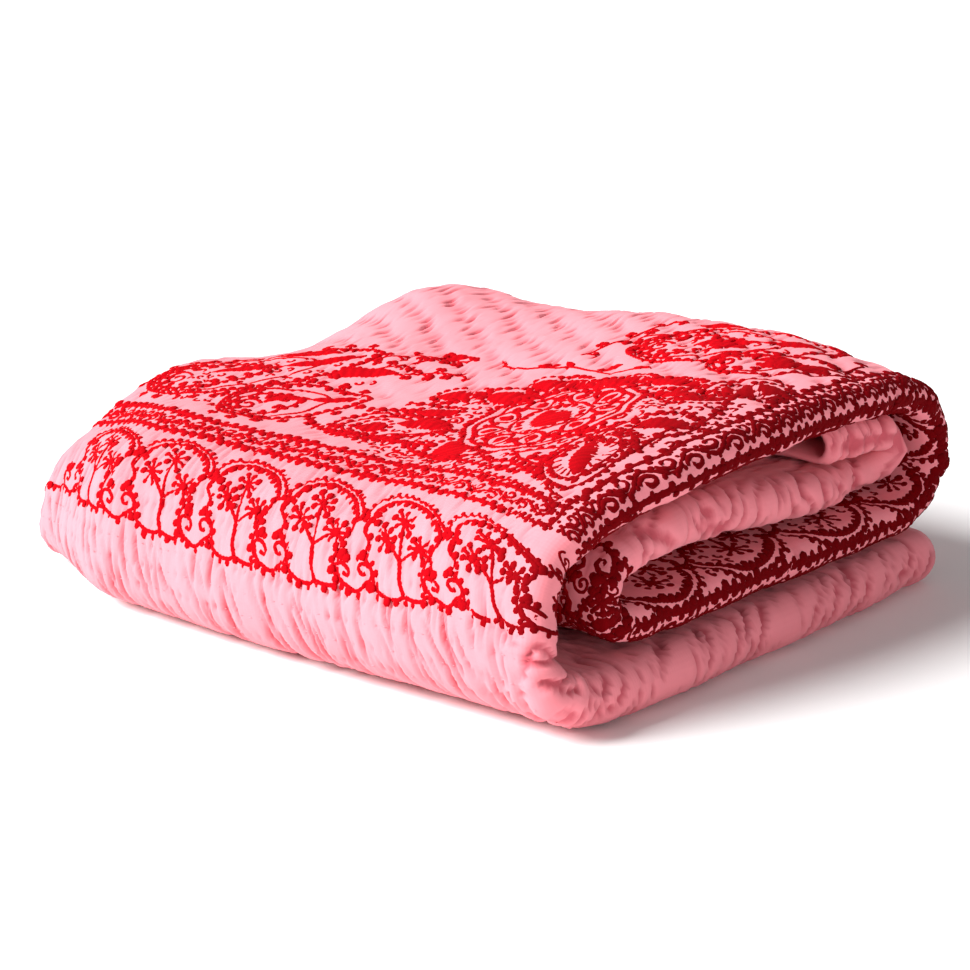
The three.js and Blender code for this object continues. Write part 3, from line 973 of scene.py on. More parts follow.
@dataclass
class NeedleWork:
    """What is sewn in red yarn: chain stitch lines, satin leaves, and the knots along them. Sizes in mm."""

    name: str
    bold: float
    knot_bold: float
    pull: ClothPull = ClothPull()
    chain: float = 3.2
    chain_step: float = 1.07
    chain_rise: float = 0.55
    lobe_start: float = 0.4
    lobe_widths: Pair = (0.78, 0.34)
    lobe_rises: Pair = (0.8, 0.25)
    satin_step: float = 1.6
    satin_rise: float = 0.85
    satin_rises: Pair = (0.45, 0.55)
    satin_ends: Pair = (0.02, 0.985)
    satin_fullest: float = 0.85
    satin_rough: float = 0.09
    satin_turn: float = 2.4
    knot_vary: float = 0.2
    row_vary: float = 0.32
    row_stray: float = 0.7
    sink: float = 0.5
    hook: float = 2.5
    ridges: list[Ridge] = field(default_factory=list)
    satins: list[Ridge] = field(default_factory=list)
    knots: list[Array] = field(default_factory=list)

    def line(self, spot: Spot, points: Array, width: float) -> None:
        """Sews a line of chain stitch, one lobe for each stitch.

        Args:
            spot: Where the motif stands.
            points: The line in the motif's own mm.
            width: Width of the yarn line.
        """
        drawn = even_steps(spot.flat(points), self.chain_step)
        run = np.arange(len(drawn)) * self.chain_step
        lobe = np.abs(np.sin(np.pi * run / self.chain + self.lobe_start))
        half = self.pull.fineness(drawn) * self.bold * width / 2 * grown(self.lobe_widths, lobe)
        rise = self.chain_rise * grown(self.lobe_rises, lobe)
        self.ridges.append(Ridge(self.pull.moved(drawn), half, rise))

    def leaf(self, spot: Spot, points: Array, width: float, blunt: float = 0.6) -> None:
        """Fills a leaf or petal with satin stitch.

        Args:
            spot: Where the motif stands.
            points: Its middle line in the motif's own mm.
            width: Its greatest width.
            blunt: Below 1 for fuller ends.
        """
        flat = self.pull.moved(even_steps(spot.flat(points), self.satin_step))
        t = np.linspace(0, 1, len(flat))
        full = np.sin(np.pi * np.clip(t**self.satin_fullest, *self.satin_ends)) ** blunt
        rough = 1 + self.satin_rough * np.sin(np.arange(len(flat)) * self.satin_turn)
        rise = self.satin_rise * grown(self.satin_rises, full)
        self.satins.append(Ridge(flat, width / 2 * full * rough, rise))

    def _tie(self, drawn: Array, radius: float, vary: float) -> None:
        """Ties knots.

        Args:
            drawn: Their places as drawn on the flat cloth.
            radius: Their size.
            vary: How much their sizes differ.
        """
        flat = self.pull.moved(drawn)
        uneven = 1 + vary * Unevenness(23, 2.9, 2.9)(flat[:, 0], flat[:, 1])
        size = self.pull.fineness(drawn) * self.knot_bold * radius * uneven
        self.knots.append(np.column_stack([flat, size]))

    def knot(self, spot: Spot, places: Array | list[Pair], radius: float) -> None:
        """Ties single knots of one size at a motif's own places."""
        self._tie(spot.flat(places), radius, self.knot_vary)

    def knots_beside(self, spot: Spot, points: Array, pitch: float, aside: float, radius: float) -> None:
        """Ties a row of knots beside a line.

        Args:
            spot: Where the motif stands.
            points: The line in the motif's own mm.
            pitch: Spacing of the knots.
            aside: Distance to the left of the line, below zero for the right.
            radius: Their size.
        """
        flat = even_steps(spot.flat(points), pitch)
        way = np.gradient(flat, axis=0)
        way /= np.linalg.norm(way, axis=1)[:, None]
        loose = aside + self.row_stray * Unevenness(25, 3.1, 3.1)(flat[:, 0], flat[:, 1])
        self._tie(flat + loose[:, None] * left_of(way), radius, self.row_vary)

    def beaded(self, spot: Spot, points: Array, width: float, *rows: tuple[float, float, float]) -> None:
        """Sews a line with rows of knots beside it.

        Args:
            spot: Where the motif stands.
            points: The line in the motif's own mm.
            width: Width of the yarn line.
            rows: Spacing, distance to the left and size of the knots of each row.
        """
        self.line(spot, points, width)
        for row in rows:
            self.knots_beside(spot, points, *row)

    def flower(self, spot: Spot, middle: Pair, reach: float, petals: int, tilt: float) -> None:
        """Sews a small flower of spokes that end in knots.

        Args:
            spot: Where the motif stands.
            middle: Its middle in the motif's own mm.
            reach: Length of a spoke.
            petals: How many spokes.
            tilt: Turn of the first spoke in degrees.
        """
        for i in range(petals):
            tip = reach * (1 + 0.12 * math.sin(2.1 * i + tilt)) * heading(tilt + 360 * i / petals)
            start = 0.6 * heading(tilt + 360 * i / petals)
            self.line(spot, middle + np.array([start, 0.55 * tip, tip]), 2.4)
            self.knot(spot, middle + tip, 2.05)
        self.knot(spot, [middle], 2.4)

    def sprig(self, spot: Spot, base: Pair | Array, turn: float, reach: float) -> None:
        """Sews a short stem with a bud of three knots.

        Args:
            spot: Where the motif stands.
            base: Its foot in the motif's own mm.
            turn: Its direction in degrees.
            reach: Its length.
        """
        way = heading(turn)
        side = left_of(way)
        tip = base + reach * way
        self.line(spot, base + np.outer((0, 0.5 * reach, reach), way), 2.2)
        self.knot(spot, tip + np.array([1.2 * way, 2.3 * side - 0.8 * way, -2.3 * side - 0.8 * way]), 1.95)

    def rosette(self, spot: Spot, middle: Pair, reach: float) -> None:
        """Sews a filled round flower with a ring of knots.

        Args:
            spot: Where the motif stands.
            middle: Its middle in the motif's own mm.
            reach: Its radius.
        """
        core = 0.82 * reach
        self.leaf(spot, middle + np.array([(-core, 0), (0, 0), (core, 0)]), 2 * core, blunt=0.5)
        angle = np.linspace(0, 2 * np.pi, max(int(reach * 1.05), 7), endpoint=False)
        self.knot(spot, middle + polar(reach, angle), 2.3)

    def petal(self, spot: Spot, long: float, wide: float) -> None:
        """Sews a satin petal from its foot outwards, with knots around it.

        Args:
            spot: Its foot and its direction.
            long: Its length.
            wide: Its width.
        """
        middle = run_through([(0.02 * long, 0), (0.5 * long, 0.06 * wide), (0.98 * long, 0)])
        self.leaf(spot, middle, wide, blunt=0.5)
        self.knots_beside(spot, round_oval((0.5 * long, 0), 0.56 * long, 0.56 * wide, 0, 352), 5.6, 0.0, 2.2)

    def curl(self, spot: Spot, reach: float, width: float) -> None:
        """Sews a hook that winds in on itself and ends in a knot.

        Args:
            spot: Its middle and its turn.
            reach: Its radius.
            width: Width of the yarn line.
        """
        angle = np.linspace(0, 2.6 * np.pi, 60)
        line = polar(reach * (1 - 0.78 * angle / angle[-1]), angle)
        self.line(spot, line, width)
        self.knot(spot, line[-1:], 0.62 * width)

    def drop(self, spot: Spot, long: float, wide: float, width: float, knotted: bool = True) -> None:
        """Sews the outline of a teardrop with its point at the foot.

        Args:
            spot: Its point and its direction.
            long: Its length.
            wide: Its width.
            width: Width of the yarn line.
            knotted: Whether knots run along it.
        """
        side = [(0, 0), (0.3 * long, 0.34 * wide), (0.7 * long, 0.5 * wide), (0.96 * long, 0.22 * wide)]
        rim = run_through(side + [(x, -y) for x, y in reversed(side)])
        self.beaded(spot, rim, width, *([(6.8, 2.0, 2.1)] if knotted else []))

    def fill(self, patch: Spot, wide: float, high: float, step: float, clear: float) -> None:
        """Fills the gaps of an oval patch with small hooks.

        Args:
            patch: The patch's middle and its turn.
            wide: Half its length.
            high: Half its width.
            step: Spacing of the hooks.
            clear: Least distance to what is sewn already.
        """
        runs = self.ridges + self.satins
        sewn = np.vstack([r.line for r in runs] + [k[:, :2] for k in self.knots])
        reach = np.concatenate([r.half for r in runs] + [k[:, 2] for k in self.knots])
        hook = polar(self.hook, np.radians(np.linspace(0, 230, 12)))
        for i, x in enumerate(np.arange(-wide, wide, step)):
            for j, y in enumerate(np.arange(-high, high, step)):
                if (x / wide) ** 2 + (y / high) ** 2 > 1:
                    continue
                place = patch.flat((x + (j % 2) * step / 2, y))
                away = np.hypot(*(sewn - self.pull.moved(place)[0]).T) - reach
                if away.min() > clear:
                    self.line(Spot(*place[0], 73.0 * i + 131.0 * j), hook, 2.1)


@dataclass
class ArchRow:
    """A row of scalloped arches, each over a tree of three flowers, with hooked buds between. In mm."""

    pitch: float = 70.0
    spring: float = 46.0
    wide: float = 32.5
    high: float = 24.0
    band: float = 4.1
    fork: Pair = (25.4, 22.0)
    bud: Rows = ((-3, -1), (0, 1.6), (3, -1), (0, 0))

    def sew(self, work: NeedleWork, spot: Spot) -> None:
        """Sews one arch.

        Args:
            work: What it is added to.
            spot: Its left foot.
        """
        middle = (self.pitch / 2 - 2, self.spring)
        outer = round_oval(middle, self.wide + 1.2, self.high, 180, 0)
        outer = outer + 0.8 * np.sin(np.arange(len(outer)) * 1.1)[:, None] * (0, 1)
        inner = round_oval(middle, self.wide - self.band, self.high - self.band, 184, -4)
        post = run_through([(-0.5, 45), (-3.5, 38), (0.5, 31), (-2.2, 23), (2.4, 13), (1, 4)])
        sweep = run_through([(66, 46), (60, 42.5), (56, 37), (51, 31), (45.5, 22), (41, 12), (41, 3.5)])
        for line, width, knots in ((outer, 2.4, (6.6, 1.5, 1.6)), (inner, 3.2, (6.8, -1.7, 2.3)),
                                   (post, 2.6, (6.6, 1.9, 1.85)), (sweep, 2.6, (6.8, -2.0, 2.0))):
            work.beaded(spot, line, width, knots)
        work.knot(spot, [(0, 49), (-3, 46), (2.6, 46.4), (-0.6, 42.6)], 2.3)
        self._tree(work, spot)
        self.sew_foot(work, spot)

    def _tree(self, work: NeedleWork, spot: Spot) -> None:
        """Sews the tree under the arch.

        Args:
            work: What it is added to.
            spot: The arch's left foot.
        """
        work.line(spot, run_through([(23, 0.5), (22.4, 8), (24.6, 16), self.fork]), 3.3)
        for bend, tip in (((21, 29), (17, 34)), ((28, 35), (31, 48)), ((34, 27.5), (43, 33))):
            work.line(spot, run_through([self.fork, bend, tip]), 2.5)
        for middle, reach, tilt in (((15.5, 36), 8.2, 10), ((31, 49.5), 8.4, 28), ((44, 33), 8.2, 0)):
            work.flower(spot, middle, reach, 8, tilt)

    def sew_foot(self, work: NeedleWork, spot: Spot) -> None:
        """Sews the scalloped foot line and the hooked buds beside the tree.

        Args:
            work: What it is added to.
            spot: The arch's left foot.
        """
        base = [(0, 4), (4, 0.2), (10, -2.4), (18, -2), (23, 0.2), (29, -1.2), (36, -1.4), (41, 1.6), (47, 1),
                (54, -1.6), (60, 0.6), (66, 5.5), (70, 4)]
        work.beaded(spot, run_through(base), 2.9, (7.0, -2.2, 2.15))
        first = [(45, 1.5), (42.6, 7), (43.8, 13.4), (49, 15), (53, 11.4), (51, 7.2), (47.6, 8.6)]
        second = [(66, 5), (71, 9), (71.4, 14.6), (66.4, 17.4), (62, 14.2), (63.6, 10), (66.6, 11.2)]
        for hook, bud in ((first, (50, 19.4)), (second, (66, 21.6))):
            work.line(spot, run_through(hook), 2.9)
            work.knot(spot, bud + np.array(self.bud), 2.4)


@dataclass
class ScrollBand:
    """A border of two knotted rails with hooked scrolls between them. Sizes in mm."""

    half: float = 12.5
    wave: float = 30.0
    swing: float = 4.2
    coil: float = 5.4
    bead: float = 2.25
    bead_pitch: float = 8.2
    hollow: float = 3.6
    specks: Rows = ((-5.2, -7.6), (0.4, -9.2), (5.4, -7.2), (7.6, 6.6))

    def sew(self, work: NeedleWork, spot: Spot, length: float) -> None:
        """Sews a straight stretch of the border: a running vine with a curl in each hollow.

        Args:
            work: What it is added to.
            spot: Where it starts; it runs to the motif's right.
            length: How far it runs.
        """
        for side in (1, -1):
            rail = np.array([(x, side * self.half) for x in (0, length / 2, length)])
            work.beaded(spot, rail, 3.8, (self.bead_pitch, side * 2.6, self.bead),
                        (1.08 * self.bead_pitch, side * -2.4, 0.92 * self.bead))
        run = np.arange(0, length, 1.5)
        work.line(spot, np.stack([run, self.swing * np.sin(2 * np.pi * run / self.wave)], -1), 2.6)
        angle = np.linspace(0, 2.1 * np.pi, 40)
        hook = polar(self.coil * (1 - 0.74 * angle / angle[-1]), angle)
        for i in range(int(2 * length / self.wave)):
            side = 1 if i % 2 else -1
            middle = np.array([(i + 0.5) * self.wave / 2, side * self.hollow])
            work.line(spot, middle - hook * (1, 0.95 * side), 2.7)
            for across, up in self.specks:
                work.knot(spot, middle + (across, side * up), 1.7)


@dataclass(frozen=True)
class Paisley:
    """A bent teardrop in nested outlines, with a coil, sprigs and satin leaves in it. Sizes in mm."""

    long: float
    wide: float
    bend: float
    shares: Row = (1.0, 0.8, 0.6)
    coil: float = 17.0
    leafy: bool = False

    def outline(self, share: float) -> Array:
        """One outline of the teardrop.

        Args:
            share: Its size against the outermost.

        Returns:
            Points from the tip around the round end and back to the tip.
        """
        t = np.concatenate([np.linspace(1, 0, 50) ** 1.6, np.linspace(0, 1, 50)[1:] ** 1.6])
        side = np.concatenate([np.ones(50), -np.ones(49)])
        full = 2.33 * np.sqrt(t) * (1 - t) ** 0.75
        start = 0.3 * (1 - share) * self.wide
        x = start + share * (self.long - 0.35 * (1 - share) * self.long) * t
        y = side * share * self.wide * 0.5 * full + self.bend * (x / self.long) ** 2
        return even_steps(np.stack([x, y], -1))

    def sew(self, work: NeedleWork, spot: Spot) -> None:
        """Sews the teardrop.

        Args:
            work: What it is added to.
            spot: Its round end.
        """
        for i, share in enumerate(self.shares):
            if i == 1:
                work.line(spot, self.outline(share), 2.3)
            else:
                work.beaded(spot, self.outline(share), 3.0, (6.8, 1.9 if i == 0 else -1.9, 2.15))
        outer, inner = self.outline(1.0), self.outline(self.shares[-1])
        twigs = [(inner, k, 65) for k in range(6, len(inner) - 6, 13)]
        twigs += [(outer, k, -70) for k in range(12, len(outer) - 8, 15)] if self.leafy else []
        for line, k, lean in twigs:
            way = line[k] - line[k - 4]
            work.sprig(spot, line[k], math.degrees(math.atan2(way[1], way[0])) + lean, 6.5)
        middle = (0.3 * (1 - self.shares[-1]) * self.wide + self.coil, 1.5)
        work.curl(spot.at(middle, spot.turn, spot.size), self.coil * 0.75, 2.6)
        near = [(0.3, 3), (0.45, 6), (0.62, 0.45 * self.bend)]
        far = [(0.62, 0.4 * self.bend), (0.78, 0.62 * self.bend), (0.93, 0.9 * self.bend)]
        for leaf, width in ((near, 0.17), (far, 0.2)):
            work.leaf(spot, run_through([(share * self.long, y) for share, y in leaf]), width * self.wide)


@dataclass
class Medallion:
    """An oval medallion: a rosette, and rings of drops and hooks around it. Sizes in mm."""

    drops: int = 9
    rosette: float = 20.0
    rosette_turn: float = 135.0
    halo: float = 26.0
    ring: float = 50.0
    rim: float = 57.0

    def sew(self, work: NeedleWork, spot: Spot) -> None:
        """Sews the medallion.

        Args:
            work: What it is added to.
            spot: Its middle.
        """
        work.rosette(Spot(spot.across, spot.along, self.rosette_turn, wide=1.25), (0, 0), self.rosette)
        angle = np.linspace(0, 2 * np.pi, 240)
        wavy = np.cos(self.drops * angle)
        work.line(spot, polar(self.halo + 0.6 * wavy, angle), 2.8)
        work.line(spot, polar(self.ring + 1.6 * wavy, angle), 3.3)
        work.beaded(spot, polar(self.rim + 1.6 * wavy, angle), 3.2, (5.0, -1.8, 2.0))
        long = self.ring - self.halo - 4
        for i in range(self.drops):
            turn = 360 * (i + 0.5) / self.drops
            way, between = heading(turn), heading(turn + 180 / self.drops)
            work.drop(spot.at((self.halo + 2) * way, spot.turn + turn), long, 19, 3.2, False)
            work.leaf(spot, np.array([(self.halo + share * long) * way for share in (0.36, 0.62, 0.92)]), 11)
            work.curl(spot.at((self.halo + 0.72 * long) * between, spot.turn + turn), 5.0, 3.0)


@dataclass
class FieldMotifs:
    """The motifs of the field, placed one by one on the flat cloth. Places and sizes in mm, turns in degrees.
    """

    medallion: Medallion = field(default_factory=Medallion)
    middle: Spot = Spot(798, 662)
    paisleys: tuple[tuple[Paisley, Spot], ...] = (
        (Paisley(178, 72, 6, leafy=True), Spot(470, 598, 40)),
        (Paisley(104, 62, -6, (1.0, 0.78, 0.54), 12, leafy=True), Spot(562, 594, 40)),
        (Paisley(150, 66, 20, (1.0, 0.78, 0.56), 13), Spot(762, 786, 22)),
        (Paisley(96, 44, -10, (1.0, 0.7), 10), Spot(838, 776, 34)),
    )
    # Across, along, turn, length and width of each satin petal, and then of each drop.
    petals: Rows = (
        (716, 694, 205, 36, 24), (722, 660, 200, 32, 20), (756, 700, 195, 40, 30), (776, 726, 190, 44, 30),
        (784, 716, 20, 44, 32), (828, 726, 8, 38, 24), (848, 704, 5, 36, 20), (884, 724, 32, 46, 32),
        (872, 690, 38, 36, 18), (878, 652, 18, 42, 27),
    )
    drops: Rows = ((866, 648, 18, 54, 34), (872, 722, 36, 58, 42), (836, 606, 10, 40, 20))
    lines: tuple[Rows, ...] = (
        ((640, 602), (680, 594), (720, 600), (750, 590), (790, 586), (831, 584), (862, 588)),
        ((690, 600), (722, 598), (746, 604)),
        ((788, 590), (806, 598), (826, 592), (850, 600), (868, 612)),
        ((908, 598), (914, 622), (908, 650), (914, 676), (906, 704)),
        ((848, 594), (872, 592), (893, 586), (910, 576)),
        ((852, 608), (868, 606), (884, 600)),
        ((806, 573), (832, 573), (860, 574), (884, 572), (906, 566), (920, 558)),
        ((676, 660), (694, 668), (704, 684)),
        ((660, 640), (682, 650), (700, 648)),
        ((846, 644), (866, 634), (890, 632), (914, 640)),
        ((828, 630), (850, 640), (866, 652)),
    )
    # Across, along, turn and radius of each curl.
    curls: Rows = (
        (736, 582, 20, 6), (806, 582, 200, 6), (846, 586, 70, 6), (718, 606, 100, 5), (866, 596, 250, 6),
        (664, 602, 40, 6), (868, 640, 120, 6), (900, 634, 300, 6), (862, 566, 140, 5), (914, 572, 15, 6),
        (860, 660, 80, 6), (728, 646, 330, 6),
    )
    # The number of sprigs of each spray, and its stem.
    sprays: tuple[tuple[int, Rows], ...] = (
        (8, ((600, 700), (616, 718), (636, 730), (660, 738))),
        (7, ((632, 694), (652, 708), (676, 716))),
        (6, ((610, 690), (632, 714), (644, 738))),
        (7, ((736, 768), (744, 792), (750, 816), (762, 842))),
        (5, ((748, 800), (764, 814), (784, 822))),
        (0, ((688, 744), (712, 742), (738, 752), (768, 748), (796, 756))),
        (4, ((900, 802), (912, 822), (916, 846))),
    )
    # Across, along, turn, length and width of each single leaf.
    leaves: Rows = (
        (690, 745, 150, 9, 5), (716, 746, 30, 16, 9), (742, 754, 160, 10, 6), (764, 750, 40, 17, 9),
        (790, 756, 20, 12, 7), (640, 732, 40, 22, 11), (532, 686, 26, 46, 15), (590, 672, 30, 50, 19),
        (806, 806, 12, 36, 24), (866, 792, 18, 46, 24), (782, 842, 22, 34, 14),
    )

    def sew(self, work: NeedleWork) -> None:
        """Sews all the motifs, and fills the gaps between them.

        Args:
            work: What they are added to.
        """
        self.medallion.sew(work, self.middle)
        for paisley, spot in self.paisleys:
            paisley.sew(work, spot)
        self._satins(work)
        self._sun_flower(work, Spot(889, 617, 135, wide=1.5))
        for points in self.lines:
            work.beaded(PLAIN_CLOTH, run_through(points), 2.6, (7.4, 2.0, 2.25), (8.6, -2.0, 1.9))
        for *place, reach in self.curls:
            work.curl(Spot(*place), reach, 2.3)
        work.fill(Spot(806, 648, 20), 124, 82, 7.6, 1.4)
        self._sprays(work)
        work.fill(Spot(556, 650, 40), 96, 40, 8.4, 2.0)
        work.fill(Spot(826, 806, 26), 70, 26, 8.4, 2.0)

    def _satins(self, work: NeedleWork) -> None:
        """Sews the teardrop at the left of the medallion, the wreath of satin petals and the satin flowers.

        Args:
            work: What they are added to.
        """
        left = Spot(742, 630, 194)
        work.drop(left, 88, 50, 2.6)
        work.drop(Spot(738, 629, 194), 76, 36, 2.2)
        work.leaf(left, run_through([(4, -5), (24, -9), (44, -7)]), 25, blunt=0.5)
        work.rosette(left, (59, 2), 14)
        for *place, long, wide in self.petals:
            work.petal(Spot(*place), long, wide)
        work.rosette(Spot(770, 600, 135, wide=1.35), (0, 0), 18)
        for *place, long, wide in self.drops:
            work.drop(Spot(*place), long, wide, 2.4)

    @staticmethod
    def _sun_flower(work: NeedleWork, spot: Spot) -> None:
        """Sews the round flower near the corner: a satin heart, a ring of rays and a knotted rim.

        Args:
            work: What it is added to.
            spot: Its middle.
        """
        work.leaf(spot, np.array([(-15, -1), (0, 0), (14, 1)]), 17, blunt=0.5)
        for turn in range(0, 360, 18):
            work.line(spot, np.outer((11, 13, 15.5), heading(turn)), 1.7)
        for ring, width in ((17, 2.0), (23, 2.7)):
            work.beaded(spot, round_oval((0, 0), ring, ring, 0, 355), width, (4.6, -1.6, 1.9))

    def _sprays(self, work: NeedleWork) -> None:
        """Sews the leafy sprays at the tips of the teardrops and behind the medallion, and the single leaves.

        Args:
            work: What they are added to.
        """
        for sprigs, stem in self.sprays:
            line = run_through(stem)
            work.line(PLAIN_CLOTH, line, 2.0)
            for k, i in enumerate(np.linspace(4, len(line) - 2, sprigs).astype(int)):
                way = line[i] - line[i - 3]
                turn = math.degrees(math.atan2(way[1], way[0])) + (52 if k % 2 else -52)
                work.sprig(Spot(*line[i]), (0, 0), turn, 7)
        for *place, long, wide in self.leaves:
            work.leaf(Spot(*place), run_through([(0, 0), (long / 2, 0.06 * long), (long, 0)]), wide)


@dataclass
class Embroidery:
    """All the red yarn work on the cloth, and the meshes that it is made of. Sizes in mm."""

    cloth: FoldedCloth
    quilting: Quilting
    arches: ArchRow = field(default_factory=ArchRow)
    band: ScrollBand = field(default_factory=ScrollBand)
    side_band: ScrollBand = field(
        default_factory=lambda: ScrollBand(12.0, 24.0, 4.0, 5.0, bead=2.35, bead_pitch=8.8))
    motifs: FieldMotifs = field(default_factory=FieldMotifs)
    first_arch: float = 460.0
    arch_lean: float = -0.45
    border_from: float = 542.0
    border_start: float = 440.0
    side_border: float = 940.0
    side_base: float = 1041.0
    side_bold: float = 1.45
    side_knots: float = 1.5
    corner_bold: float = 1.0
    side_size: float = 1.25
    far_border: float = 1322.0
    knot_rise: float = 0.36
    knot_depth: float = 0.36
    section: Rows = ((-1.0, 0.0), (-0.72, 0.62), (0.0, 1.0), (0.72, 0.62), (1.0, 0.0))

    def sew_arches(self) -> NeedleWork:
        """Sews the rows of arches at the front, along the right side and at the far end.

        Returns:
            The arches' yarn.
        """
        work = NeedleWork("arches", bold=1.24, knot_bold=1.42)
        base, pitch = self.quilting.base_line, self.arches.pitch
        front = [Spot(self.first_arch + i * pitch, base, lean=self.arch_lean) for i in range(7)]
        self.arches.sew_foot(work, front[0])
        for spot in front[1:]:
            self.arches.sew(work, spot)
        work.bold, work.knot_bold = self.side_bold, self.side_knots
        for i in range(9):
            along = self.border_from + 4 + i * pitch * self.side_size
            self.arches.sew(work, Spot(self.side_base, along, 90, self.side_size))
        for i in range(4):
            self.arches.sew(work, Spot(self.side_border + 46 - i * pitch, self.quilting.far_line, 180))
        work.fill(Spot(self.side_border + 58, 1165), 42, 140, 9.0, 1.6)
        return work

    def sew_borders(self) -> NeedleWork:
        """Sews the scrolled borders and the corners between them.

        Returns:
            The borders' yarn.
        """
        work = NeedleWork("borders", bold=1.62, knot_bold=1.55)
        half, side, far = self.band.half, self.side_border, self.far_border
        front = self.border_from + half
        self.band.sew(work, Spot(self.border_start, front), side - half - self.border_start)
        work.bold, work.knot_bold = self.side_bold, self.side_knots
        self.side_band.sew(work, Spot(side, front - half, 90), far + half - front + half)
        self.band.sew(work, Spot(side - half, far, 180), 200)
        work.bold = work.knot_bold = self.corner_bold
        for corner in (Spot(side + 24, self.quilting.base_line + 42), Spot(side + 2, far + 44)):
            work.rosette(corner, (0, 0), 10)
            work.beaded(corner, round_oval((0, 0), 18, 18, 0, 352), 3.0, (5.0, -1.8, 2.1))
            for turn in range(0, 360, 40):
                work.curl(corner.at(29 * heading(turn), turn), 6.5, 2.7)
        work.fill(Spot(side + 2, far + 42), 38, 38, 10.0, 2.4)
        return work

    def sew_field(self) -> NeedleWork:
        """Sews the motifs of the field.

        Returns:
            The field's yarn.
        """
        work = NeedleWork("field", bold=1.48, knot_bold=1.5)
        self.motifs.sew(work)
        return work

    def _tubes(self, ridges: list[Ridge], name: str, sink: float) -> bpy.types.Object:
        """Makes raised yarn of the ridges, each closed and let a little into the cloth.

        Args:
            ridges: The runs of yarn.
            name: Name of the piece.
            sink: How far their edges are let in, in mm.

        Returns:
            The yarn's object, with its run in metres and its share across as a UV map.
        """
        profile = np.array(self.section)
        k = len(profile)
        line, half, rise = (np.concatenate(v) for v in zip(*((r.line, r.half, r.rise) for r in ridges)))
        way = np.vstack([np.gradient(r.line, axis=0) for r in ridges])
        way /= np.maximum(np.linalg.norm(way, axis=1), 1e-9)[:, None]
        aside = half[:, None] * profile[None, :, 0]
        flat = line[:, None, :] + aside[..., None] * left_of(way)[:, None, :]
        height = (rise[:, None] + sink) * profile[None, :, 1] - sink
        ground = self.quilting.relief(flat[..., 1], flat[..., 0])
        points = self.cloth.place(flat[..., 1], flat[..., 0], self.cloth.layer / 2 + ground + height)
        faces, starts, ends, first = [], [], [], 0
        j = np.arange(k)[None, :]
        turn = (j + 1) % k
        for r in ridges:
            i = first + np.arange(len(r.line) - 1)[:, None] * k
            faces += np.stack([i + j, i + k + j, i + k + turn, i + turn], -1).reshape(-1, 4).tolist()
            starts.append(list(range(first, first + k)))
            first += len(r.line) * k
            ends.append(list(range(first - 1, first - k - 1, -1)))
        run = np.concatenate([distances(r.line) for r in ridges])
        uv = np.stack(np.broadcast_arrays(run[:, None] * MM, (profile[None, :, 0] + 1) / 2), -1)
        return make_piece(name, points.reshape(-1, 3), faces + starts + ends, "yarn", uv.reshape(-1, 2))

    def build(self, yarn: bpy.types.Material) -> list[bpy.types.Object]:
        """Builds every piece of yarn work.

        Args:
            yarn: The yarn's material.

        Returns:
            The pieces.
        """
        pieces = []
        for work in (self.sew_arches(), self.sew_borders(), self.sew_field()):
            for kind, ridges in (("chain_stitch_", work.ridges), ("satin_stitch_", work.satins)):
                if ridges:
                    pieces.append(self._tubes(ridges, kind + work.name, work.sink))
                    pieces[-1].data.materials.append(yarn)
            knots = np.vstack(work.knots)
            sewn = SewnPoints("knots_" + work.name, self.cloth, self.quilting, length=1.0, breadth=1.0,
                              rise=self.knot_rise, seed=5, depth=self.knot_depth)
            pieces.append(sewn.build(knots[:, 1], knots[:, 0], knots[:, 2] * MM, yarn))
        return pieces


def add_node(tree: bpy.types.NodeTree, kind: str, settings: dict | None = None,
             inputs: dict | None = None) -> bpy.types.Node:
    """Adds a node with its settings, values and links.

    Args:
        tree: The tree that it joins.
        kind: Its type name.
        settings: Its own properties.
        inputs: For each input by name or number, a value, or the socket that feeds it.

    Returns:
        The node.
    """
    node = tree.nodes.new(kind)
    for key, value in (settings or {}).items():
        setattr(node, key, value)
    for key, value in (inputs or {}).items():
        if isinstance(value, Socket):
            tree.links.new(value, node.inputs[key])
        else:
            node.inputs[key].default_value = value
    return node


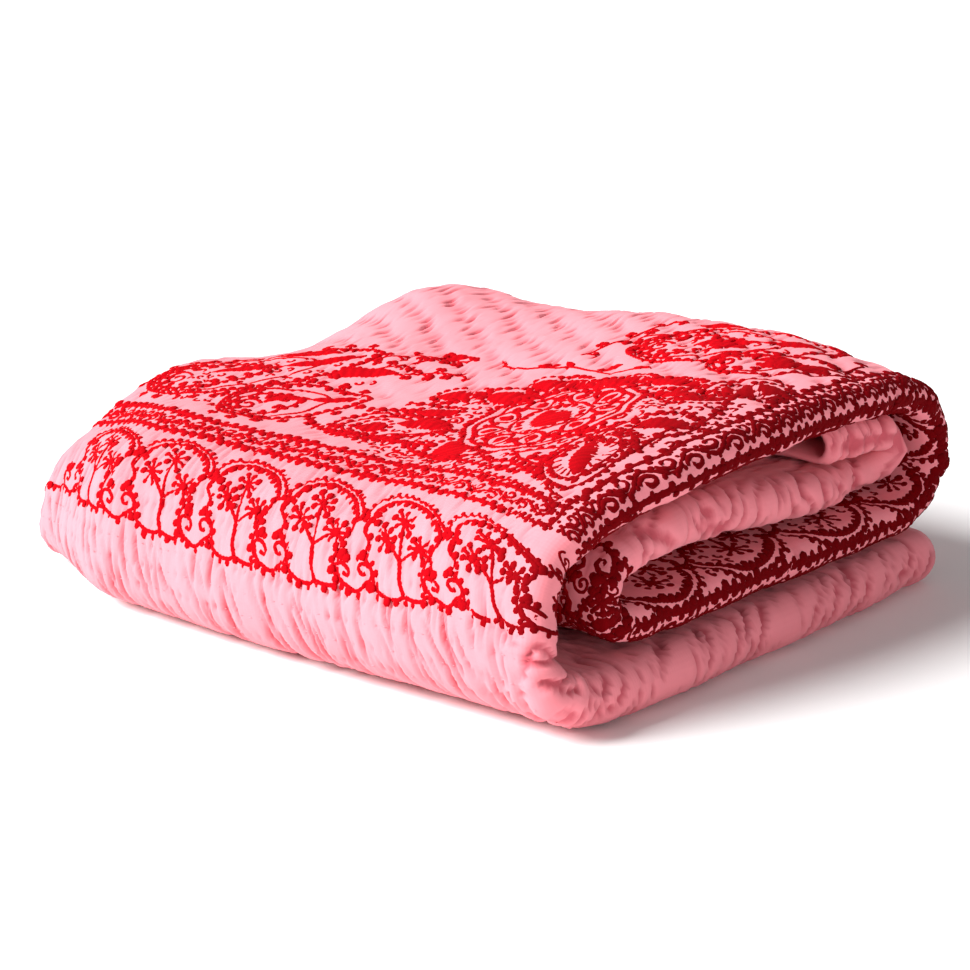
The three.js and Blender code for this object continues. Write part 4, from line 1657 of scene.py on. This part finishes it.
@dataclass
class SewnPoints:
    """Small rounded stitches or knots set on the cloth by a node tree, in shares of each point's own size.

    The depth is the share of its rise by which the middle of each is let into the cloth.
    """

    name: str
    cloth: FoldedCloth
    quilting: Quilting
    length: float
    breadth: float
    rise: float
    seed: int
    depth: float = -0.3
    segments: int = 7
    rings: int = 4
    least: float = 0.88
    most: float = 1.12

    def _tree(self, material: bpy.types.Material) -> bpy.types.NodeTree:
        """Builds the node tree that sets a stitch on every point.

        Args:
            material: The thread's material.

        Returns:
            The tree.
        """
        tree = bpy.data.node_groups.new(self.name, "GeometryNodeTree")
        for label, way, kind in (("Geometry", "INPUT", "Geometry"), ("Length", "INPUT", "Float"),
                                 ("Breadth", "INPUT", "Float"), ("Rise", "INPUT", "Float"),
                                 ("Seed", "INPUT", "Int"), ("Geometry", "OUTPUT", "Geometry")):
            tree.interface.new_socket(label, in_out=way, socket_type="NodeSocket" + kind)

        def node(kind: str, inputs: dict, output: str | int = 0, **settings: str) -> Socket:
            """Adds a node to this tree and gives one of its outputs."""
            return add_node(tree, kind, settings, inputs).outputs[output]

        entry = add_node(tree, "NodeGroupInput").outputs
        ball = node("GeometryNodeMeshUVSphere",
                    {"Segments": self.segments, "Rings": self.rings, "Radius": 1.0})
        shape = node("ShaderNodeCombineXYZ", {0: entry["Length"], 1: entry["Breadth"], 2: entry["Rise"]})
        stitch = node("GeometryNodeTransform", {"Geometry": ball, "Scale": shape})
        out, way = (node("GeometryNodeInputNamedAttribute", {"Name": key}, data_type="FLOAT_VECTOR")
                    for key in ("out", "way"))
        size = node("GeometryNodeInputNamedAttribute", {"Name": "size"}, data_type="FLOAT")
        stand = node("FunctionNodeAlignRotationToVector", {"Vector": out}, axis="Z")
        turned = node("FunctionNodeAlignRotationToVector", {"Rotation": stand, "Vector": way},
                      axis="X", pivot_axis="Z")
        vary = node("FunctionNodeRandomValue", {2: self.least, 3: self.most, "Seed": entry["Seed"]}, 1,
                    data_type="FLOAT")
        scale = node("ShaderNodeMath", {0: size, 1: vary}, operation="MULTIPLY")
        copies = node("GeometryNodeInstanceOnPoints", {
            "Points": entry["Geometry"], "Instance": stitch, "Rotation": turned, "Scale": scale})
        whole = node("GeometryNodeRealizeInstances", {"Geometry": copies})
        soft = node("GeometryNodeSetShadeSmooth", {"Geometry": whole})
        dressed = node("GeometryNodeSetMaterial", {"Geometry": soft, "Material": material})
        add_node(tree, "NodeGroupOutput", inputs={0: dressed})
        return tree

    def build(self, along: Array, across: Array, size: Array,
              material: bpy.types.Material) -> bpy.types.Object:
        """Sets the stitches on the cloth, lying across it, and makes them a plain mesh.

        Args:
            along: Places along in mm.
            across: Places across in mm.
            size: Size of each in metres.
            material: The thread's material.

        Returns:
            The piece.
        """
        ground = self.cloth.layer / 2 + self.quilting.relief(along, across)
        here = self.cloth.place(along, across, ground)
        way = self.cloth.place(along, across + 1.0, ground) - here
        out = np.cross(way, self.cloth.place(along + 1.0, across, ground) - here)
        out /= np.linalg.norm(out, axis=1)[:, None]
        points = bpy.data.meshes.new(self.name)
        points.from_pydata((here - out * size[:, None] * self.depth * self.rise).tolist(), [], [])
        marks = {"out": ("FLOAT_VECTOR", "vector", out), "way": ("FLOAT_VECTOR", "vector", way),
                 "size": ("FLOAT", "value", size)}
        for key, (kind, slot, values) in marks.items():
            mark = points.attributes.new(key, kind, "POINT")
            mark.data.foreach_set(slot, np.asarray(values, np.float32).ravel())
        piece = add_object(self.name, points)
        tree = self._tree(material)
        sewing = piece.modifiers.new("sewing", "NODES")
        sewing.node_group = tree
        values = {"Length": self.length, "Breadth": self.breadth, "Rise": self.rise, "Seed": self.seed}
        for item in tree.interface.items_tree:
            if item.in_out == "INPUT" and item.name in values:
                sewing[item.identifier] = values[item.name]
        ready = bpy.context.evaluated_depsgraph_get()
        plain = bpy.data.meshes.new_from_object(piece.evaluated_get(ready))
        piece.modifiers.remove(sewing)
        piece.data = plain
        plain.name = self.name
        for key in marks:
            if key in plain.attributes:
                plain.attributes.remove(plain.attributes[key])
        return piece


@dataclass
class RunningStitches:
    """The pink quilting thread: running stitches in rows over the plain margin. Sizes in mm."""

    cloth: FoldedCloth
    quilting: Quilting
    thread: float = 0.34
    long: float = 1.5
    rows: tuple[int, int] = (-5, 1)
    stitches: tuple[int, int] = (56, 118)
    over_end: float = 4.0

    def build(self, material: bpy.types.Material) -> bpy.types.Object:
        """Sews the rows.

        Args:
            material: The thread's material.

        Returns:
            The piece.
        """
        q, s = self.quilting, self.cloth.seams
        places = []
        for number in range(*self.rows):
            across = (np.arange(*self.stitches) - q.row_shift * number) * q.margin_stitch
            across = across[(across > s[1]) & (across < s[3] + self.over_end)]
            places.append(np.stack([across, q.stitch_row(across, number)], -1))
        sewn = np.vstack(places)
        stitches = SewnPoints("running_stitches", self.cloth, q, length=self.long / self.thread, breadth=1.0,
                              rise=1.0, seed=9, segments=6)
        return stitches.build(sewn[:, 1], sewn[:, 0], np.full(len(sewn), self.thread * MM), material)


class Shader:
    """A material's node tree, with short calls for the nodes that the finishes share."""

    def __init__(self, name: str) -> None:
        """Starts an empty material.

        Args:
            name: The material's name.
        """
        self.material = bpy.data.materials.new(name)
        self.material.use_nodes = True
        self.tree = self.material.node_tree
        self.tree.nodes.clear()

    def add(self, kind: str, inputs: dict | None = None, output: str | int = 0,
            **settings: str | bool) -> Socket:
        """Adds a node with its inputs and settings, and gives one of its outputs."""
        return add_node(self.tree, kind, settings, inputs).outputs[output]

    def noise(self, place: Socket, size: float, detail: float, roughness: float = 0.5) -> Socket:
        """Uneven shade in patches of about the given size in mm."""
        values = {"Vector": place, "Scale": 1 / (size * MM), "Detail": detail, "Roughness": roughness}
        return self.add("ShaderNodeTexNoise", values)

    def bands(self, place: Socket, direction: str, scale: float, **values: float) -> Socket:
        """Soft bands, one after the other in a direction."""
        values = {key.replace("_", " ").title(): value for key, value in values.items()}
        return self.add("ShaderNodeTexWave", {"Vector": place, "Scale": scale, **values}, "Fac",
                        bands_direction=direction)

    def plus(self, value: Socket, share: float, base: Socket, clamp: bool = False) -> Socket:
        """Adds a share of a value to another one."""
        values = {0: value, 1: share, 2: base}
        return self.add("ShaderNodeMath", values, operation="MULTIPLY_ADD", use_clamp=clamp)

    def less(self, value: Socket, amount: float) -> Socket:
        """Takes an amount from a value, down to zero."""
        return self.add("ShaderNodeMath", {0: value, 1: amount}, operation="SUBTRACT", use_clamp=True)

    def dye(self, share: Socket, first: str | Socket, second: str) -> Socket:
        """Passes from a first colour to a second one."""
        start = linear(first) if isinstance(first, str) else first
        return self.add("ShaderNodeMix", {"Factor": share, "A": start, "B": linear(second)}, "Result",
                        data_type="RGBA")

    def bump(self, height: Socket, strength: float, depth: float) -> Socket:
        """Roughens the surface by a height, to a depth in mm."""
        return self.add("ShaderNodeBump", {"Height": height, "Strength": strength, "Distance": depth * MM})

    def finish(self, values: dict) -> bpy.types.Material:
        """Closes the tree with a principled shader.

        Args:
            values: The shader's inputs.

        Returns:
            The material.
        """
        surface = self.add("ShaderNodeBsdfPrincipled", values)
        add_node(self.tree, "ShaderNodeOutputMaterial", inputs={"Surface": surface})
        return self.material


@dataclass(frozen=True)
class QuiltedCotton:
    """Fine plain-woven cotton, washed and quilted: matt, with a soft bloom, and painted shade that makes it
    darker in the dips than on the crowns.
    """

    crown: str = "f08a94"
    # Colour of the painted shade in the furrows of the quilting.
    painted_furrow_shade: str = "c04a58"
    bloom: str = "ffdfe4"
    # Real threads lie 0.35 mm apart, under a pixel here, so the weave is drawn with threads of 1.1 mm.
    thread: float = 1.1 * MM

    def make(self) -> bpy.types.Material:
        """Builds the material.

        Returns:
            The material.
        """
        shader = Shader("plain_woven_cotton_pink")
        flat = shader.add("ShaderNodeUVMap", uv_map="flat")
        painted_furrow_shades = shader.add("ShaderNodeAttribute", output="Fac", attribute_name="painted_furrow_shade")
        wash, slub = shader.noise(flat, 55, 4.0), shader.noise(flat, 5, 5.0, 0.7)
        # Random washes and slubs, with painted shade in the furrows of the quilting.
        tone_and_furrow_shade = shader.plus(slub, 0.16, shader.plus(wash, 0.28, painted_furrow_shades), clamp=True)
        pairs = 1 / (2 * self.thread) / WAVE_BANDS
        warp, weft = (shader.bands(flat, way, pairs, distortion=0.6, detail_scale=3.0) for way in "XY")
        height = shader.plus(slub, 3.0, shader.plus(warp, 1.0, weft))
        return shader.finish({
            "Base Color": shader.dye(shader.less(tone_and_furrow_shade, 0.2), self.crown, self.painted_furrow_shade),
            "Roughness": 0.88, "IOR": 1.46, "Sheen Weight": 0.15, "Sheen Roughness": 0.5,
            "Sheen Tint": linear(self.bloom), "Specular IOR Level": 0.2,
            "Normal": shader.bump(height, 0.15, 0.25)})


@dataclass(frozen=True)
class EmbroideryYarn:
    """Soft twisted yarn dyed red, in raised stitches: matt, ribbed by its twist, with random tone and painted
    shade between strands.

    Painted shade makes it darker towards the open right end, where the cloth turns in.
    """

    strand: str = "c40412"
    # Colour of the painted shade between the strands, mixed in with random tone.
    deep: str = "8f020b"
    # Colour of the painted shade towards the open right end.
    turned: str = "5c0207"
    bloom: str = "ff5a64"
    # Real plies lie 0.4 mm apart, under a pixel here, so broader ribs are drawn, 6.3 mm apart.
    rib: float = 2 * math.pi * MM
    painted_end_shade_from: float = 0.13
    painted_end_shade_to: float = 0.24
    painted_end_shade: float = 0.9

    def make(self) -> bpy.types.Material:
        """Builds the material.

        Returns:
            The material.
        """
        shader = Shader("twisted_yarn_red")
        run = shader.add("ShaderNodeUVMap", uv_map="yarn")
        place = shader.add("ShaderNodeTexCoord", output="Object")
        ribs = shader.bands(run, "X", 2 * math.pi / WAVE_TURN / self.rib, distortion=1.2, detail=1.0)
        fuzz, patch = shader.noise(place, 1.6, 3.0, 0.65), shader.noise(place, 28, 2.0)
        # Random fuzz and patches, and painted shade between the ribs of the twist.
        tone_and_strand_shade = shader.plus(patch, 0.35, shader.plus(ribs, -0.35, fuzz), clamp=True)
        dye = shader.dye(shader.less(tone_and_strand_shade, 0.25), self.strand, self.deep)
        # Painted shade: darker towards the open right end, by the x of the object's points.
        beside = shader.add("ShaderNodeSeparateXYZ", {0: place})
        values = {0: beside, 1: self.painted_end_shade_from, 2: self.painted_end_shade_to, 3: 0.0, 4: self.painted_end_shade}
        painted_end_shade = shader.add("ShaderNodeMapRange", values, interpolation_type="SMOOTHSTEP")
        return shader.finish({
            "Base Color": shader.dye(painted_end_shade, dye, self.turned),
            "Roughness": 0.85, "IOR": 1.5, "Sheen Weight": 0.03, "Sheen Roughness": 0.4,
            "Sheen Tint": linear(self.bloom), "Specular IOR Level": 0.03,
            "Normal": shader.bump(shader.plus(fuzz, 0.8, ribs), 0.35, 0.4)})


@dataclass(frozen=True)
class QuiltingThread:
    """Spun cotton sewing thread in the cloth's own pink: a little shinier than the cloth, and twisted."""

    colour: str = "f08d97"
    shadow: str = "e57c88"

    def make(self) -> bpy.types.Material:
        """Builds the material.

        Returns:
            The material.
        """
        shader = Shader("spun_thread_pink")
        twist = shader.noise(shader.add("ShaderNodeTexCoord", output="Object"), 0.8, 2.0)
        return shader.finish({
            "Base Color": shader.dye(twist, self.colour, self.shadow),
            "Roughness": 0.6, "IOR": 1.5, "Normal": shader.bump(twist, 0.4, 0.15)})


@dataclass(frozen=True)
class MattPaper:
    """White paper under the bedspread: matt, with a faint unevenness in its tone."""

    light: str = "fbfafa"
    dark: str = "f6f5f5"

    def make(self) -> bpy.types.Material:
        """Builds the material.

        Returns:
            The material.
        """
        shader = Shader("matt_paper_white")
        grain = shader.add("ShaderNodeTexNoise", {"Scale": 3.0})
        return shader.finish({"Base Color": shader.dye(grain, self.light, self.dark), "Roughness": 0.9})


@dataclass(frozen=True)
class Sun:
    """A broad light: the direction from the object to it, its strength, and its width in degrees."""

    name: str
    toward: tuple[float, float, float]
    strength: float
    spread: float

    def shine(self) -> None:
        """Adds the light to the scene."""
        lamp = bpy.data.lights.new(self.name, "SUN")
        lamp.energy, lamp.angle = self.strength, math.radians(self.spread)
        stand = add_object(self.name, lamp)
        stand.location = Vector(self.toward) * 2
        stand.rotation_euler = Vector(self.toward).to_track_quat("Z", "Y").to_euler()


@dataclass
class Studio:
    """Camera, light and floor, in metres and degrees."""

    target: tuple[float, float, float] = (0.0, 0.008, 0.0633)
    azimuth: float = 40.2
    elevation: float = 17.6
    distance: float = 2.2
    focal_share: float = 3280 / 970
    sensor: float = 36.0
    clip: Pair = (0.05, 50.0)
    floor: float = 6.0
    floor_drop: float = 0.0004
    room_light: float = 0.27
    suns: tuple[Sun, ...] = (
        Sun("key", (-0.54, -0.66, 0.64), strength=6.6, spread=35),
        Sun("fill", (0.82, -0.48, 0.28), strength=0.6, spread=25),
    )

    def camera(self) -> None:
        """Sets the camera at the photograph's angle."""
        lens = bpy.data.cameras.new("camera")
        lens.sensor_width, lens.lens = self.sensor, self.sensor * self.focal_share
        lens.clip_start, lens.clip_end = self.clip
        eye = add_object("camera", lens)
        a, e = math.radians(self.azimuth), math.radians(self.elevation)
        back = Vector((math.sin(a) * math.cos(e), -math.cos(a) * math.cos(e), math.sin(e)))
        eye.location = Vector(self.target) + self.distance * back
        eye.rotation_euler = (-back).to_track_quat("-Z", "Y").to_euler()
        bpy.context.scene.camera = eye

    def ground(self) -> bpy.types.Object:
        """Lays the pale floor.

        Returns:
            The floor.
        """
        h = self.floor
        mesh = bpy.data.meshes.new("floor")
        mesh.from_pydata([(-h, -h, 0), (h, -h, 0), (h, h, 0), (-h, h, 0)], [], [(0, 1, 2, 3)])
        mesh.materials.append(MattPaper().make())
        floor = add_object("floor", mesh)
        floor.location.z = -self.floor_drop
        return floor

    def build(self) -> None:
        """Sets up the camera, the lights, the floor and the pale surroundings."""
        self.camera()
        for sun in self.suns:
            sun.shine()
        self.ground()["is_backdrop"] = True
        world = bpy.data.worlds.new("pale_room")
        world.use_nodes = True
        back = world.node_tree.nodes["Background"]
        back.inputs["Color"].default_value = linear("ffffff")
        back.inputs["Strength"].default_value = self.room_light
        bpy.context.scene.world = world
        bpy.context.scene.view_settings.view_transform = "Standard"


def main() -> None:
    """Builds the bedspread, dresses it, and sets the stage."""
    logging.basicConfig(level=logging.INFO, format="%(message)s")
    cad_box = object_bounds()
    Studio().build()
    cloth = FoldedCloth()
    quilting = Quilting(cloth)
    sheet = QuiltedSheet(cloth, quilting).build()
    sheet.data.materials.append(QuiltedCotton().make())
    work = Embroidery(cloth, quilting).build(EmbroideryYarn().make())
    stitches = RunningStitches(cloth, quilting).build(QuiltingThread().make())
    dressed = [(sheet, "quilted_cotton"), *((p, "red_yarn") for p in work), (stitches, "quilted_cotton")]
    for piece, slot in dressed:
        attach(piece, "root")
        piece.data.calc_loop_triangles()
        LOG.info("%s: %d triangles", piece.name, len(piece.data.loop_triangles))
    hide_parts("bedspread")
    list(work)
    boxes = {"cad": cad_box, "visual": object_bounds()}
    {key: [[float(c) for c in corner] for corner in box] for key, box in boxes.items()}


if __name__ == "__main__":
    main()
